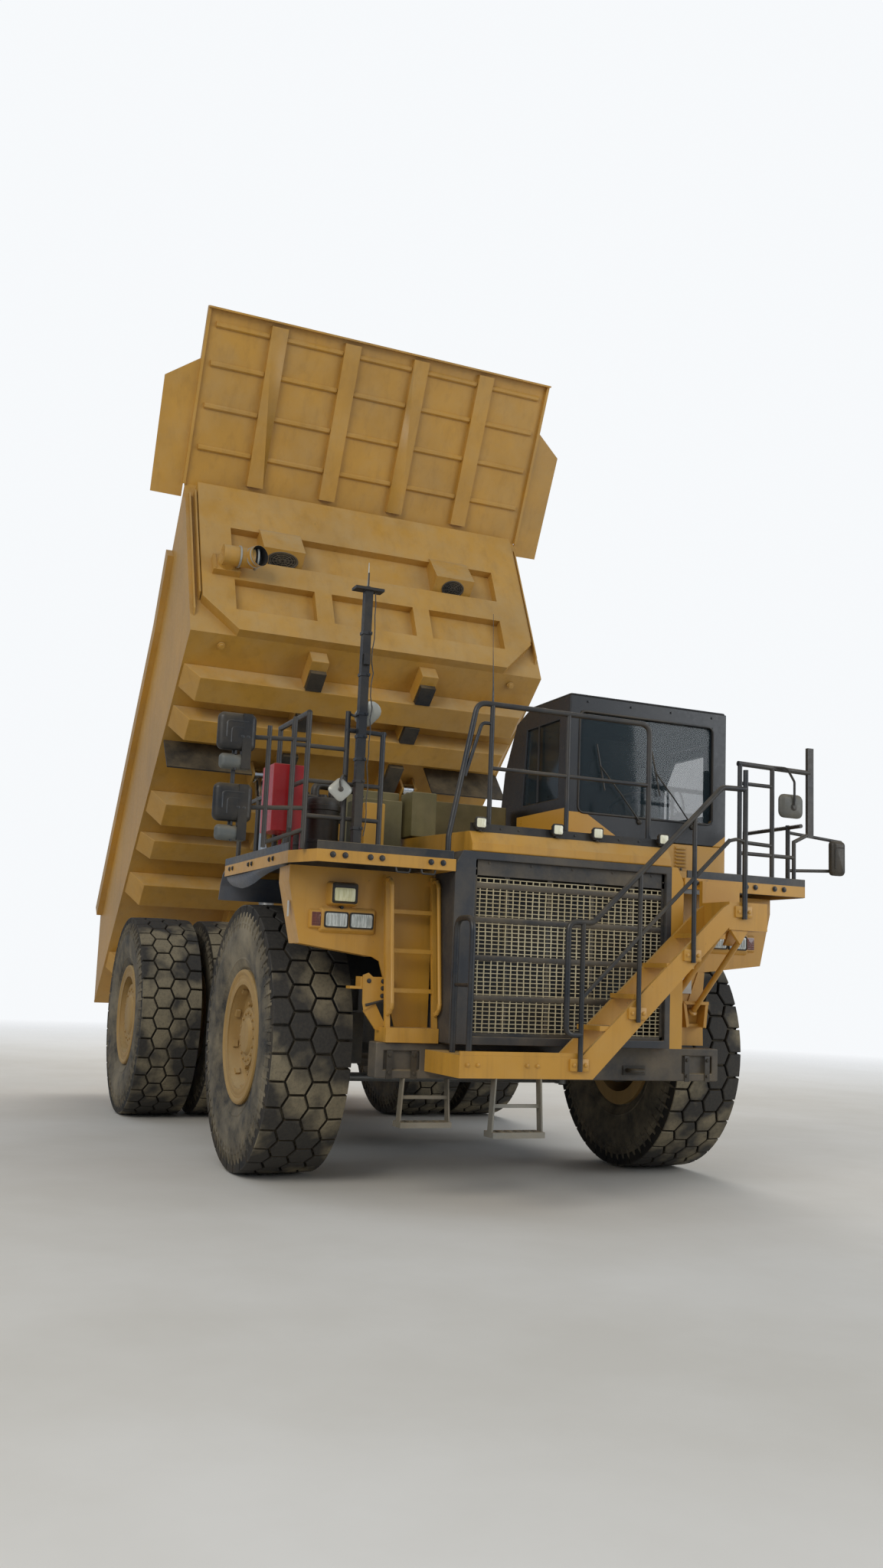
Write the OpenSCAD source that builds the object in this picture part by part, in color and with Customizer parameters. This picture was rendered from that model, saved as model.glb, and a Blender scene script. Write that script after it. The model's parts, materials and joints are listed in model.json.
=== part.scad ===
// Mining dump truck with its load bed raised.
// Millimetres. X points forwards, Y to the driver's left, Z up. Z = 0 is the ground.

/* [Axles and wheels] */
// Front axle ahead of the origin
front_axle_x = 2600; // [2500:10:2700]
// Distance between the axles
wheelbase = 4300; // [4200:10:4400]
// Distance between the front tyre centres
front_track = 3515; // [3480:5:3560]
// Distance between the centres of the rear tyre pairs
rear_track = 3080; // [3060:5:3120]
// Tyre radius at the lug tips
tyre_r = 1071; // [1050:1:1080]
// Tyre width at the side walls
tyre_w = 650; // [620:5:670]
// Distance between the two tyres of a rear pair
twin_pitch = 760; // [740:5:780]
// Rim seat radius under the tyre bead
rim_seat_r = 445; // [430:1:460]
// Rim flange radius
rim_flange_r = 530; // [510:1:545]
// Rim flange thickness
rim_flange_t = 30; // [20:1:40]
// Rim wall thickness
rim_wall = 30; // [20:1:40]
// Half width of the rim over its flanges
rim_half = 280; // [260:1:290]
// Wheel disc thickness
disc_t = 40; // [25:1:60]
// Depth of the front disc behind the rim flange
front_disc_depth = 150; // [100:1:200]
// Front hub radius
front_hub_r = 230; // [200:1:260]
// Rear hub radius
rear_hub_r = 330; // [300:1:350]

/* [Steering] */
// Kingpin distance from the middle
kingpin_y = 1200; // [1180:5:1220]
// Steering angle each way
steer_limit = 31; // [20:1:31]
// Radius of the sliding strut rod, which is the kingpin
kingpin_r = 110; // [90:1:120]
// Strut tube radius
strut_tube_r = 150; // [140:1:160]
// Front spindle radius
spindle_r = 110; // [90:1:130]
// Steering arm length behind the kingpin
steer_arm = 520; // [480:5:560]
// Tie rod radius
tie_rod_r = 38; // [25:1:45]
// Tie rod height
tie_rod_z = 720; // [700:5:760]
// Steering cylinder pin behind the kingpin
steer_cyl_arm = 400; // [390:1:410]
// Steering cylinder height
steer_cyl_z = 880; // [860:5:900]
// Steering cylinder barrel radius
steer_barrel_r = 55; // [45:1:60]
// Steering rod radius
steer_rod_r = 30; // [20:1:35]

/* [Frame] */
// Middle of a frame rail from the middle of the truck
rail_y = 610; // [600:5:620]
// Frame rail width
rail_w = 260; // [240:5:260]
// Rail underside at the front
rail_bottom = 1010; // [990:5:1030]
// Rail top at the front
rail_front_top = 1500; // [1450:5:1550]
// Bumper front face
bumper_x = 4194; // [4150:1:4220]
// Bumper half width
bumper_half = 1460; // [1400:5:1500]
// Bumper underside
bumper_z = 876; // [850:1:900]
// Bumper height
bumper_h = 254; // [220:1:280]
// Radius of the upright bores for towing pins
tow_r = 32; // [25:1:40]
// Towing bore distance from the middle
tow_y = 620; // [560:5:660]

/* [Load bed] */
// Bed hinge behind the origin
hinge_x = -2838; // [-2860:1:-2820]
// Bed hinge height
hinge_z = 1448; // [1430:1:1460]
// Angle of the bed from its drawn attitude, as stored
bed_rest_angle = 49.2; // [40:0.1:49.2]
// Slope of the floor in the drawn attitude
floor_slope = 7.5; // [6:0.1:8]
// Front end of the floor underside
floor_x = 1600; // [1560:5:1640]
// Height of the floor underside at its front end
floor_z = 1940; // [1930:5:1980]
// Rear end of the floor
tail_x = -4400; // [-4500:10:-4300]
// Top of the front wall, forwards
wall_top_x = 2470; // [2440:5:2490]
// Top of the front wall, height
wall_top_z = 3870; // [3850:5:3900]
// Canopy tip, forwards
canopy_x = 4335; // [4200:5:4340]
// Canopy tip, height
canopy_z = 4430; // [4420:5:4480]
// Bed half width over its side plates
bed_half = 2080; // [2040:5:2100]
// Canopy half width
canopy_half = 2110; // [2090:5:2130]
// Floor plate thickness
floor_t = 30; // [20:1:40]
// Side plate thickness
side_t = 24; // [16:1:40]
// Depth of the beams on the front wall
wall_beam = 120; // [80:5:130]
// Canopy rib depth
canopy_rib = 60; // [40:5:65]
// Top rail width beside the side plate
top_rail_w = 70; // [50:5:90]
// Top rail height
top_rail_h = 160; // [120:5:200]
// Longitudinal bed rail depth
bed_rail_h = 180; // [140:5:190]
// Longitudinal bed rail width
bed_rail_w = 200; // [160:5:220]
// Middle of a bed rail from the middle of the truck
bed_rail_y = 650; // [630:5:660]
// Rubber pad thickness
pad_t = 60; // [40:5:60]
// Hinge pin radius
hinge_pin_r = 70; // [60:1:80]

/* [Hoist] */
// Hoist cylinder distance from the middle
hoist_y = 920; // [915:1:930]
// Lower hoist pin, along the truck
hoist_low_x = -180; // [-190:1:-170]
// Lower hoist pin height
hoist_low_z = 700; // [690:1:720]
// Upper hoist pin, along the bed in its drawn attitude
hoist_up_x = -180; // [-190:1:-170]
// Upper hoist pin below the floor
hoist_up_drop = 150; // [140:1:160]
// Hoist barrel radius
hoist_r = 105; // [95:1:105]
// Hoist middle stage radius
hoist_stage_r = 82; // [75:1:85]
// Hoist rod radius
hoist_rod_r = 60; // [50:1:65]
// Length of the hoist when closed
hoist_closed = 1380; // [1375:1:1390]

/* [Hood and decks] */
// Deck top height
deck_z = 2463; // [2450:1:2480]
// Deck front edge
deck_x = 4408; // [4380:1:4420]
// Deck half width
deck_half = 2168; // [2150:1:2180]
// Deck edge beam height
deck_edge = 90; // [70:1:110]
// Deck plate thickness
deck_t = 30; // [20:1:40]
// Rear end of the right deck
deck_back = 2250; // [2200:5:2300]
// Hood half width
hood_half = 860; // [840:5:880]
// Hood top height at its front
hood_z = 2690; // [2660:5:2700]
// Hood rear end
hood_back = 2700; // [2650:5:2750]
// Grille front face
grille_x = 4370; // [4350:1:4385]
// Radiator housing half width
radiator_half = 985; // [960:5:1000]
// Radiator housing wall
radiator_wall = 165; // [150:5:180]
// Light panel front face
panel_x = 3990; // [3980:1:4000]
// Thickness of the light and ladder panels
panel_t = 20; // [12:1:30]

/* [Cab] */
// Cab front face
cab_x = 3650; // [3640:5:3670]
// Right side of the cab
cab_right = 335; // [330:1:345]
// Left side of the cab
cab_left = 1893; // [1880:1:1900]
// Cab roof height
cab_top = 4000; // [3950:5:4000]
// Cab wall thickness
cab_wall = 50; // [40:1:60]
// Glass thickness
glass_t = 12; // [8:1:16]
// Door leaf thickness
door_t = 45; // [35:1:50]
// Gap around the cab door
door_gap = 8; // [6:1:12]
// Cab door opening angle
door_open = 80; // [60:1:80]

/* [Stairs and rails] */
// Front face of the stairs
stair_x = 4810; // [4790:5:4820]
// Stair width
stair_w = 360; // [340:5:400]
// Height of the bumper platform
platform_z = 1085; // [1060:5:1110]
// Handrail tube radius
rail_tube = 21; // [16:1:24]
// Bend radius of the handrails
rail_bend = 50; // [40:1:60]

/* [Hidden] */
$fn = 48;
// Running clearance between a shaft and its bore
fit = 0.3;
// Gap between neighbours on different bodies
run_gap = 5;
left = 1;
right = -1;

rear_axle_x = front_axle_x - wheelbase;
front_wheel_y = front_track / 2;
rear_wheel_y = rear_track / 2;

paint = "goldenrod";
dark = "#2b2d30";
steel = "#8a8d90";
rubber = "#26262a";
rim_paint = "#b58b3c";

// Box between two corners
module span(lo, hi) {
    translate(lo) cube(hi - lo);
}

// Box given for the left side, mirrored when side is -1
module side_span(side, lo, hi) {
    if (side > 0) span(lo, hi);
    else span([lo[0], -hi[1], lo[2]], [hi[0], -lo[1], hi[2]]);
}

// Outline in X and Z, extruded from y0 to y1
module xz_plate(points, y0, y1) {
    translate([0, y1, 0]) rotate([90, 0, 0]) linear_extrude(y1 - y0) polygon(points);
}

// Outline in X and Z on one side of the truck
module side_plate(side, points, y0, y1) {
    if (side > 0) xz_plate(points, y0, y1);
    else xz_plate(points, -y1, -y0);
}

// Outline in Y and Z, extruded from x0 to x1
module yz_plate(points, x0, x1) {
    translate([x0, 0, 0]) rotate([90, 0, 90]) linear_extrude(x1 - x0) polygon(points);
}

// Round bar across the truck
module y_bar(x, z, y0, y1, r) {
    translate([x, y0, z]) rotate([-90, 0, 0]) cylinder(r = r, h = y1 - y0);
}

module side_bar(side, x, z, y0, y1, r) {
    if (side > 0) y_bar(x, z, y0, y1, r);
    else y_bar(x, z, -y1, -y0, r);
}

function unit(v) = v / norm(v);

// Round bar between two points
module rod(a, b, r) {
    d = b - a;
    translate(a) rotate([0, acos(d[2] / norm(d)), atan2(d[1], d[0])])
        cylinder(r = r, h = norm(d));
}

// Square bar between two points
module flat_bar(a, b, w) {
    d = b - a;
    translate(a) rotate([0, acos(d[2] / norm(d)), atan2(d[1], d[0])])
        translate([-w / 2, -w / 2, 0]) cube([w, w, norm(d)]);
}

// Length that a bend takes from each leg beside corner i
function bend_leg(p, i, bend) =
    bend * tan(acos(unit(p[i] - p[i - 1]) * unit(p[i + 1] - p[i])) / 2);
// Points along the bend at corner i, one for each bend_step degrees
bend_step = 30;
function bend_points(p, i, bend) = let (
    u = unit(p[i] - p[i - 1]), v = unit(p[i + 1] - p[i]), turn = acos(u * v),
    m = unit(v - (u * v) * u), o = p[i] - u * bend_leg(p, i, bend) + bend * m,
    steps = max(1, round(turn / bend_step)))
    [for (k = [0 : steps]) let (a = turn * k / steps)
        o + bend * (sin(a) * u - cos(a) * m)];
function bent(p, bend) = [
    p[0], for (i = [1 : len(p) - 2]) for (q = bend_points(p, i, bend)) q, p[len(p) - 1]
];

// Bent tube through the points: short straight runs that overlap at the joints
module tube_run(p, r, bend) {
    q = bent(p, bend);
    lap = 0.3 * r;
    for (i = [0 : len(q) - 2]) {
        u = unit(q[i + 1] - q[i]);
        rod(q[i] - (i > 0 ? lap : 0) * u, q[i + 1] + (i < len(q) - 2 ? lap : 0) * u,
            r + 1.6 * (i % 2));
    }
}

// Turn a child about the bed hinge into the stored raised attitude
module raised() {
    translate([hinge_x, 0, hinge_z]) rotate([0, -bed_rest_angle, 0])
        translate([-hinge_x, 0, -hinge_z]) children();
}

function turn_up(p, a) = [
    hinge_x + (p[0] - hinge_x) * cos(a) - (p[1] - hinge_z) * sin(a),
    hinge_z + (p[0] - hinge_x) * sin(a) + (p[1] - hinge_z) * cos(a)
];

// Floor frame: x runs forwards along the floor from its front end, z is square to it
module on_floor() {
    translate([floor_x, 0, floor_z]) rotate([0, floor_slope, 0]) children();
}

wall_dx = wall_top_x - floor_x;
wall_dz = wall_top_z - floor_z;
wall_len = sqrt(wall_dx * wall_dx + wall_dz * wall_dz);
wall_lean = atan(wall_dx / wall_dz);

// Front wall frame: z runs up the wall, x points forwards square to it
module on_wall() {
    translate([floor_x, 0, floor_z]) rotate([0, wall_lean, 0]) children();
}

canopy_dx = canopy_x - wall_top_x;
canopy_dz = canopy_z - wall_top_z;
canopy_len = sqrt(canopy_dx * canopy_dx + canopy_dz * canopy_dz);
canopy_rise = atan(canopy_dz / canopy_dx);

// Canopy frame: x runs forwards along the canopy, z is square to it
module on_canopy() {
    translate([wall_top_x, 0, wall_top_z]) rotate([0, -canopy_rise, 0]) children();
}

function floor_at(x) = floor_z + (floor_x - x) * tan(floor_slope);

// Frame: rails, cross members, strut towers, hinge and hoist brackets

// Rail outline, X and Z
rail_outline = [
    [4000, rail_bottom], [1900, rail_bottom], [-300, 1120], [-950, 1470],
    [-2250, 1470], [-2560, 1260], [-2560, 1700], [-2150, 2080], [-400, 1990],
    [1350, 1805], [1900, 1735], [2350, rail_front_top], [4000, rail_front_top]
];
rail_in = rail_y - rail_w / 2;
rail_out = rail_y + rail_w / 2;
tower_half = 150;
arm_half = 205;
arm_z0 = 1560;
arm_z1 = 1980;
hinge_boss_r = 130;
hinge_tongue_in = 330;
hinge_tongue_out = 535;
bed_leg_in = 560;
bed_leg_out = 740;
hoist_pin_r = 45;
hoist_lug_in = 745;
hoist_lug_out = 800;

module frame_rail(side) {
    side_plate(side, rail_outline, rail_in, rail_out);
    // Tower that carries the strut
    side_span(side, [front_axle_x - tower_half, rail_in, rail_front_top],
        [front_axle_x + tower_half, rail_out, arm_z1]);
    side_span(side, [front_axle_x - arm_half, rail_out - 20, arm_z0],
        [front_axle_x + arm_half, kingpin_y + 40, arm_z1]);
    // Tongue of the bed hinge
    side_plate(side, [[-2500, 1300], [-2500, 1690], [hinge_x, hinge_z + hinge_boss_r],
        [hinge_x, hinge_z - hinge_boss_r]], hinge_tongue_in, hinge_tongue_out);
    side_bar(side, hinge_x, hinge_z, hinge_tongue_in, hinge_tongue_out, hinge_boss_r);
    side_bar(side, hinge_x, hinge_z, hinge_tongue_in, bed_leg_out + 25, hinge_pin_r);
    // Lug and pin at the foot of the hoist cylinder
    side_span(side, [hoist_low_x - 110, rail_out - 40, hoist_low_z - 90],
        [hoist_low_x + 110, hoist_lug_out, 1250]);
    side_bar(side, hoist_low_x, hoist_low_z, hoist_lug_in, hoist_y + 75, hoist_pin_r);
}

// Cross members, as x0, x1, z0, z1
cross_members = [
    [3820, 4000, rail_bottom, rail_front_top - 60],
    [front_axle_x - tower_half, front_axle_x + tower_half, 850, rail_bottom + 20],
    [-520, -330, 1200, 1700],
    [-2560, -2480, 1280, 1690]
];

steer_bracket_y = 150;
strut_gap = 0.9;
steer_bracket_x = front_axle_x - steer_cyl_arm * (1 + cos(steer_limit)) / 2;

module frame() {
    color(dark) difference() {
        union() {
            for (side = [left, right]) frame_rail(side);
            for (c = cross_members)
                span([c[0], -rail_in - 10, c[2]], [c[1], rail_in + 10, c[3]]);
            // Steering cross member and its lug
            span([steer_bracket_x - 80, -rail_in - 10, rail_bottom + 10],
                [steer_bracket_x + 80, rail_in + 10, rail_bottom + 130]);
            span([steer_bracket_x - 60, -steer_bracket_y - 60, steer_cyl_z - 70],
                [steer_bracket_x + 60, steer_bracket_y + 60, rail_bottom + 20]);
            // Bumper horns
            for (side = [left, right])
                side_span(side, [3900, rail_in + 30, bumper_z + 30],
                    [bumper_x - 160, rail_out - 30, rail_bottom + 115]);
            // Steering barrels, fixed to the lug
            for (side = [left, right])
                side_bar(side, steer_bracket_x, steer_cyl_z, steer_bracket_y,
                    kingpin_y - 320, steer_barrel_r);
        }
        for (side = [left, right]) {
            translate([front_axle_x, side * kingpin_y, arm_z0 - 10])
                cylinder(r = strut_tube_r + strut_gap, h = arm_z1 - arm_z0 + 20);
            side_bar(side, steer_bracket_x, steer_cyl_z, steer_bracket_y + 60,
                kingpin_y - 310, steer_rod_r + fit);
        }
    }
}

engine_back = 1960;
module engine_block() {
    color("#55585c") {
        span([engine_back, -460, 1150], [3600, 460, 2300]);
        span([3000, -rail_in + fit, 1200], [3120, rail_in - fit, 1290]);
    }
}

// Transmission and drive shafts
shaft_z = 1090;
module driveline() {
    color("#4d5054") {
        span([250, -320, 820], [1250, 320, 1420]);
        rod([1250, 0, 1150], [engine_back - 4, 0, 1200], 70);
        span([engine_back - 40, -120, 1080], [engine_back - fit, 120, 1320]);
        rod([250, 0, shaft_z + 20], [rear_axle_x + rear_diff_r + 0.8, 0, tyre_r], 65);
    }
}

// Front bumper with its dark recess plates
module front_bumper() {
    color(dark) difference() {
        span([bumper_x - 160, -bumper_half, bumper_z], [bumper_x, bumper_half, bumper_z + bumper_h]);
        for (side = [left, right]) {
            side_span(side, [bumper_x - 25, bumper_half - 340, bumper_z + 60],
                [bumper_x + 1, bumper_half - 60, bumper_z + bumper_h - 60]);
            translate([bumper_x - 80, side * tow_y, bumper_z - 1])
                cylinder(r = tow_r, h = bumper_h + 2);
        }
    }
}

radiator_z0 = 1135;
radiator_z1 = 2537;
radiator_back = 3700;
module radiator_housing() {
    color("#33363a") difference() {
        yz_plate([[-radiator_half, radiator_z0], [radiator_half, radiator_z0],
            [radiator_half, radiator_z1 - 110], [radiator_half - 60, radiator_z1],
            [-radiator_half + 60, radiator_z1], [-radiator_half, radiator_z1 - 110]],
            4020, deck_x - 8);
        span([4010, -radiator_half + radiator_wall, radiator_z0 + 60],
            [deck_x, radiator_half - radiator_wall, radiator_z1 - 60]);
    }
    // Radiator core behind the grille
    color("#4b4a44") span([4060, -radiator_half + radiator_wall + fit, radiator_z0 + 60 + fit],
        [4160, radiator_half - radiator_wall - fit, radiator_z1 - 60 - fit]);
}

grille_half = radiator_half - radiator_wall - fit;
grille_z0 = radiator_z0 + 60 + fit;
grille_z1 = radiator_z1 - 60 - fit;
grille_t = 30;
grille_band = 110;
grille_bars = [1470, 1760, 2040, 2290];
slat_pitch = 91;
slat_w = 26;
module grille() {
    color("#b9ae90") {
        difference() {
            span([grille_x - grille_t, -grille_half, grille_z0], [grille_x, grille_half, grille_z1]);
            for (k = [0 : len(grille_bars)]) {
                z0 = k == 0 ? grille_z0 + 40 : grille_bars[k - 1] + 25;
                z1 = k == len(grille_bars) ? grille_z1 - grille_band : grille_bars[k] - 25;
                for (j = [-9 : 8])
                    span([grille_x - grille_t - 1, j * slat_pitch + slat_w / 2, z0],
                        [grille_x + 1, (j + 1) * slat_pitch - slat_w / 2, z1]);
            }
        }
    }
}

hood_rear_z = 2750;
hood_lip = 63;
module hood() {
    color(paint) difference() {
        xz_plate([[hood_back, deck_z - 40], [deck_x - 60, deck_z - 40],
            [deck_x - 60, radiator_z1 + fit], [deck_x, radiator_z1 + fit],
            [deck_x, radiator_z1 + hood_lip], [deck_x - 58, hood_z],
            [hood_back, hood_rear_z]], -hood_half, hood_half);
        xz_plate([[hood_back + 30, deck_z - 50], [deck_x - 90, deck_z - 50],
            [deck_x - 90, hood_z - 35], [hood_back + 30, hood_rear_z - 30]],
            -hood_half + 30, hood_half - 30);
        // Clear of the cab
        span([hood_back - 1, cab_right - fit, deck_z - 60], [cab_x + fit, hood_half + 1, 2900]);
        // Clear of the radiator housing
        span([4020 - fit, -hood_half - 1, deck_z - 60],
            [deck_x + 1, hood_half + 1, radiator_z1 + fit]);
    }
}

// Decks over the front wheels, with an edge beam and a toe strip
deck_corner = 120;
toe_h = 60;
function deck_outline(back, d, cut) = [
    [back + d, hood_half + fit + d], [4020 - fit - d, hood_half + fit + d],
    [4020 - fit - d, radiator_half + fit + d], [deck_x - d, radiator_half + fit + d],
    [deck_x - d, deck_half - cut - 0.4 * d], [deck_x - 2.5 * cut - 0.2 * d, deck_half - d],
    [back + d, deck_half - d]
];
module deck(side, back, cut) {
    translate([0, 0, deck_z - deck_edge]) difference() {
        linear_extrude(deck_edge)
            polygon([for (p = deck_outline(back, 0, cut)) [p[0], side * p[1]]]);
        translate([0, 0, -1]) linear_extrude(deck_edge - deck_t + 1)
            polygon([for (p = deck_outline(back, 20, cut)) [p[0], side * p[1]]]);
    }
    // Toe strip along the front edge
    side_span(side, [deck_x - 12, radiator_half + 20, deck_z],
        [deck_x, deck_half - cut, deck_z + toe_h]);
    // Toe strip along the outer edge
    side_span(side, [back, deck_half - 12, deck_z],
        [deck_x - 2.5 * cut, deck_half, deck_z + toe_h]);
}

module deck_right() {
    color(paint) deck(right, deck_back, deck_corner);
}
module deck_left() {
    color(paint) deck(left, deck_back, 20);
}

// Fender panels under the decks, carried down to the bumper
panel_top = deck_z - deck_edge - fit;
fender_outline = [
    [radiator_half + fit, panel_top], [2115, panel_top], [2115, 2250], [2014, 1810],
    [1449, 1736], [1390, 1705], [1247, 1235], [1247, bumper_z + bumper_h + fit],
    [radiator_half - 90, bumper_z + bumper_h + fit], [radiator_half - 90, 1134],
    [radiator_half + fit, 1134]
];
module light_panel(side) {
    points = [for (p = fender_outline) [side * p[0], p[1]]];
    yz_plate(points, panel_x - panel_t, panel_x);
    // Outer cheek
    yz_plate([for (p = [[2115, panel_top], [2115, 2250], [2014, 1810], [1990, 1810],
        [2090, 2250], [2090, panel_top]]) [side * p[0], p[1]]], panel_x - 260, panel_x);
    // Inner gusset to the radiator side
    side_span(side, [panel_x - 200, radiator_half + fit, 1135],
        [panel_x, radiator_half + 25, panel_top]);
    // Lower lip
    yz_plate([for (p = [[2014, 1810], [1449, 1736], [1449, 1754], [2014, 1830]])
        [side * p[0], p[1]]], panel_x - 160, panel_x);
}
module light_panels() {
    color(paint) {
        light_panel(right);
        light_panel(left);
        // Step bracket outside the ladder
        span([panel_x - panel_t, -1560, 1500], [panel_x + 90, -1300, 1590]);
        span([panel_x - 1, -1640, 1500], [panel_x + 90, -1550, 1520]);
    }
}

// Lamps, as y, z, width, height
lamp_table = [
    [1710, 2180, 180, 100], [1560, 1990, 180, 110], [1755, 1990, 180, 110],
    [1900, 1990, 70, 100]
];
// Frames round the lamps, as y0, z0, y1, z1, depth
bezel_table = [[1600, 2110, 1820, 2250, 70], [1450, 1915, 1865, 2065, 30]];
lamp_deep = 55;
hood_lamps = [-784, -139, 208, 801];
module headlamps() {
    color("#d9dcd2") {
        for (side = [left, right]) {
            for (l = lamp_table)
                side_span(side, [panel_x + fit, l[0] - l[2] / 2, l[1] - l[3] / 2],
                    [panel_x + lamp_deep, l[0] + l[2] / 2, l[1] + l[3] / 2]);
            for (b = bezel_table) difference() {
                side_span(side, [panel_x + fit, b[0], b[1]], [panel_x + b[4], b[2], b[3]]);
                for (l = lamp_table)
                    side_span(side, [panel_x - 1, l[0] - l[2] / 2 + 1, l[1] - l[3] / 2 + 1],
                        [panel_x + 90, l[0] + l[2] / 2 - 1, l[1] + l[3] / 2 - 1]);
            }
        }
        for (y = hood_lamps) {
            span([deck_x - 62, y - 50, hood_z + 12], [deck_x - 17, y + 50, hood_z + 105]);
            span([deck_x - 66, y - 14, hood_z + 0.6], [deck_x - 60, y + 14, hood_z + 60]);
        }
    }
}

// Ladder in front of the right fender panel, leaning on the deck edge
ladder_in = 990;
ladder_out = 1400;
ladder_foot_x = 4180;
ladder_head_x = 4040;
ladder_foot_z = 1235;
ladder_head_z = 2340;
ladder_rungs = [0.24, 0.5, 0.76];
function ladder_at(t, y) = [ladder_foot_x + (ladder_head_x - ladder_foot_x) * t, y,
    ladder_foot_z + (ladder_head_z - ladder_foot_z) * t];
module ladder_right() {
    color(paint) {
        span([panel_x + fit, -ladder_out, bumper_z + bumper_h + fit],
            [ladder_foot_x + 40, -ladder_in, ladder_foot_z]);
        for (y = [-ladder_out + 20, -ladder_in - 20])
            flat_bar(ladder_at(-0.01, y), ladder_at(1, y), 36);
        for (t = ladder_rungs)
            flat_bar(ladder_at(t, -ladder_out + 30), ladder_at(t, -ladder_in - 30), 30);
        // Head brackets to the fender panel
        for (y = [-ladder_out + 20, -ladder_in - 20])
            span([panel_x + fit, y - 15, ladder_head_z - 60],
                [ladder_head_x + 10, y + 15, ladder_head_z - 20]);
        // Grab tubes
        for (y = [-ladder_out + 18, -ladder_in - 22])
            tube_run([ladder_at(0.97, y), ladder_at(0.97, y) + [110, 0, 10],
                ladder_at(0.12, y) + [110, 0, 0], ladder_at(0.08, y)], 15, 60);
    }
}

// Front stairs from the bumper platform up to the left deck
stair_back = stair_x - stair_w;
platform_y0 = -1080;
platform_y1 = -100;
platform_h = 155;
land_y0 = 1120;
land_y1 = 1470;
land_z0 = 2055;
land_z1 = 2268;
flight_slope = (land_z1 - 50 - platform_z) / (land_y0 - 60 - platform_y1);
stringer_h = 205;
tread_count = 4;
// Outline of a stringer in Y and Z
stringer_outline = [
    [platform_y1 - 60, platform_z - platform_h], [platform_y1 + 65, platform_z - platform_h],
    [land_y0, platform_z + (land_y0 - platform_y1) * flight_slope - stringer_h],
    [land_y0, land_z1 - 20], [land_y0 - 50, land_z1 - 50], [platform_y1 - 30, platform_z]
];
module front_stairs() {
    color(paint) {
        // Platform on the bumper
        span([bumper_x + fit, platform_y0, platform_z - 50], [stair_x, platform_y1, platform_z]);
        span([stair_x - 20, platform_y0, platform_z - platform_h],
            [stair_x, platform_y1, platform_z]);
        span([bumper_x + fit, platform_y0, platform_z - platform_h],
            [stair_x - 10, platform_y0 + 20, platform_z]);
        span([bumper_x + fit, platform_y1 - 20, platform_z - platform_h],
            [stair_x - 10, platform_y1, platform_z]);
        for (x = [stair_x - 30, stair_back]) yz_plate(stringer_outline, x, x + 30);
        for (k = [1 : tread_count]) {
            y = platform_y1 + (land_y0 - platform_y1) * (k - 0.15) / (tread_count + 0.4);
            z = platform_z + (land_z1 - platform_z) * k / (tread_count + 1) - 15;
            span([stair_back + 10, y - 115, z - 35], [stair_x - 10, y + 125, z]);
        }
        // Landing box
        span([stair_back, land_y0, land_z0], [stair_x, land_y1, land_z1]);
        yz_plate([[land_y0 + 20, land_z0 + 1], [land_y0 + 110, land_z0 - 110],
            [land_y0 + 180, land_z0 + 1]], stair_x - 40, stair_x - 10);
        yz_plate([[land_y0 + 190, land_z0 + 1], [land_y0 + 150, land_z0 - 110],
            [land_y0 + 240, land_z0 - 110], [land_y0 + 310, land_z0 + 1]],
            stair_back + 60, stair_back + 90);
        // Upstand to the deck edge
        span([deck_x + fit, land_y0, land_z0 + 60], [stair_back + 1, land_y1, deck_z - 20]);
        // Brace to the fender panel
        rod([stair_back + 200, land_y0 + 60, land_z0 + 10], [panel_x + 70, 1095, 1480], 26);
        yz_plate([[1000, 1380], [1150, 1380], [1200, 1540], [1000, 1540]],
            panel_x + fit, panel_x + 110);
    }
}

// Steps hung under the bumper and the platform, as x, y middle, top
hung_steps = [
    [bumper_x - 30, -1060, bumper_z], [stair_x - 32, -620, platform_z - platform_h]
];
hung_w = 400;
hung_foot = 540;
module hanging_steps() {
    color(steel) for (h = hung_steps) {
        for (dy = [-1, 1])
            yz_plate([[h[1] + dy * hung_w / 2, hung_foot], [h[1] + dy * (hung_w / 2 - 12), hung_foot],
                [h[1] + dy * (hung_w / 2 - 32), h[2] - fit], [h[1] + dy * (hung_w / 2 - 20), h[2] - fit]],
                h[0] - 40, h[0] + 30);
        difference() {
            span([h[0] - 90, h[1] - hung_w / 2, hung_foot - 10],
                [h[0] + 60, h[1] + hung_w / 2, hung_foot + 30]);
            for (k = [-2 : 2])
                span([h[0] - 75, h[1] + k * 70 - 24, hung_foot - 11],
                    [h[0] + 45, h[1] + k * 70 + 24, hung_foot + 31]);
        }
        span([h[0] - 15, h[1] - hung_w / 2 + 20, hung_foot + 190],
            [h[0] + 5, h[1] + hung_w / 2 - 20, hung_foot + 215]);
    }
}

// Handrails at the front: stair rail and hood rail with its outer loop
hood_rail_x = deck_x - 98;
hood_rail_z = 3670;
stair_rail_x = stair_x + rail_tube + fit;
post1_y = -152;
// Straight bars of the stair rail, as y, z, y, z, radius
stair_bars = [
    [post1_y, 985, post1_y, 2046, 19], [320, 1340, 320, 2424, 18], [787, 1790, 787, 2886, 18],
    [post1_y + 3, 1503, 1104, 2735, 16], [1245, land_z1 - 130, 1245, 3300, 20],
    [1092, 2727, 1252, 2731, 14]
];
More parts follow.
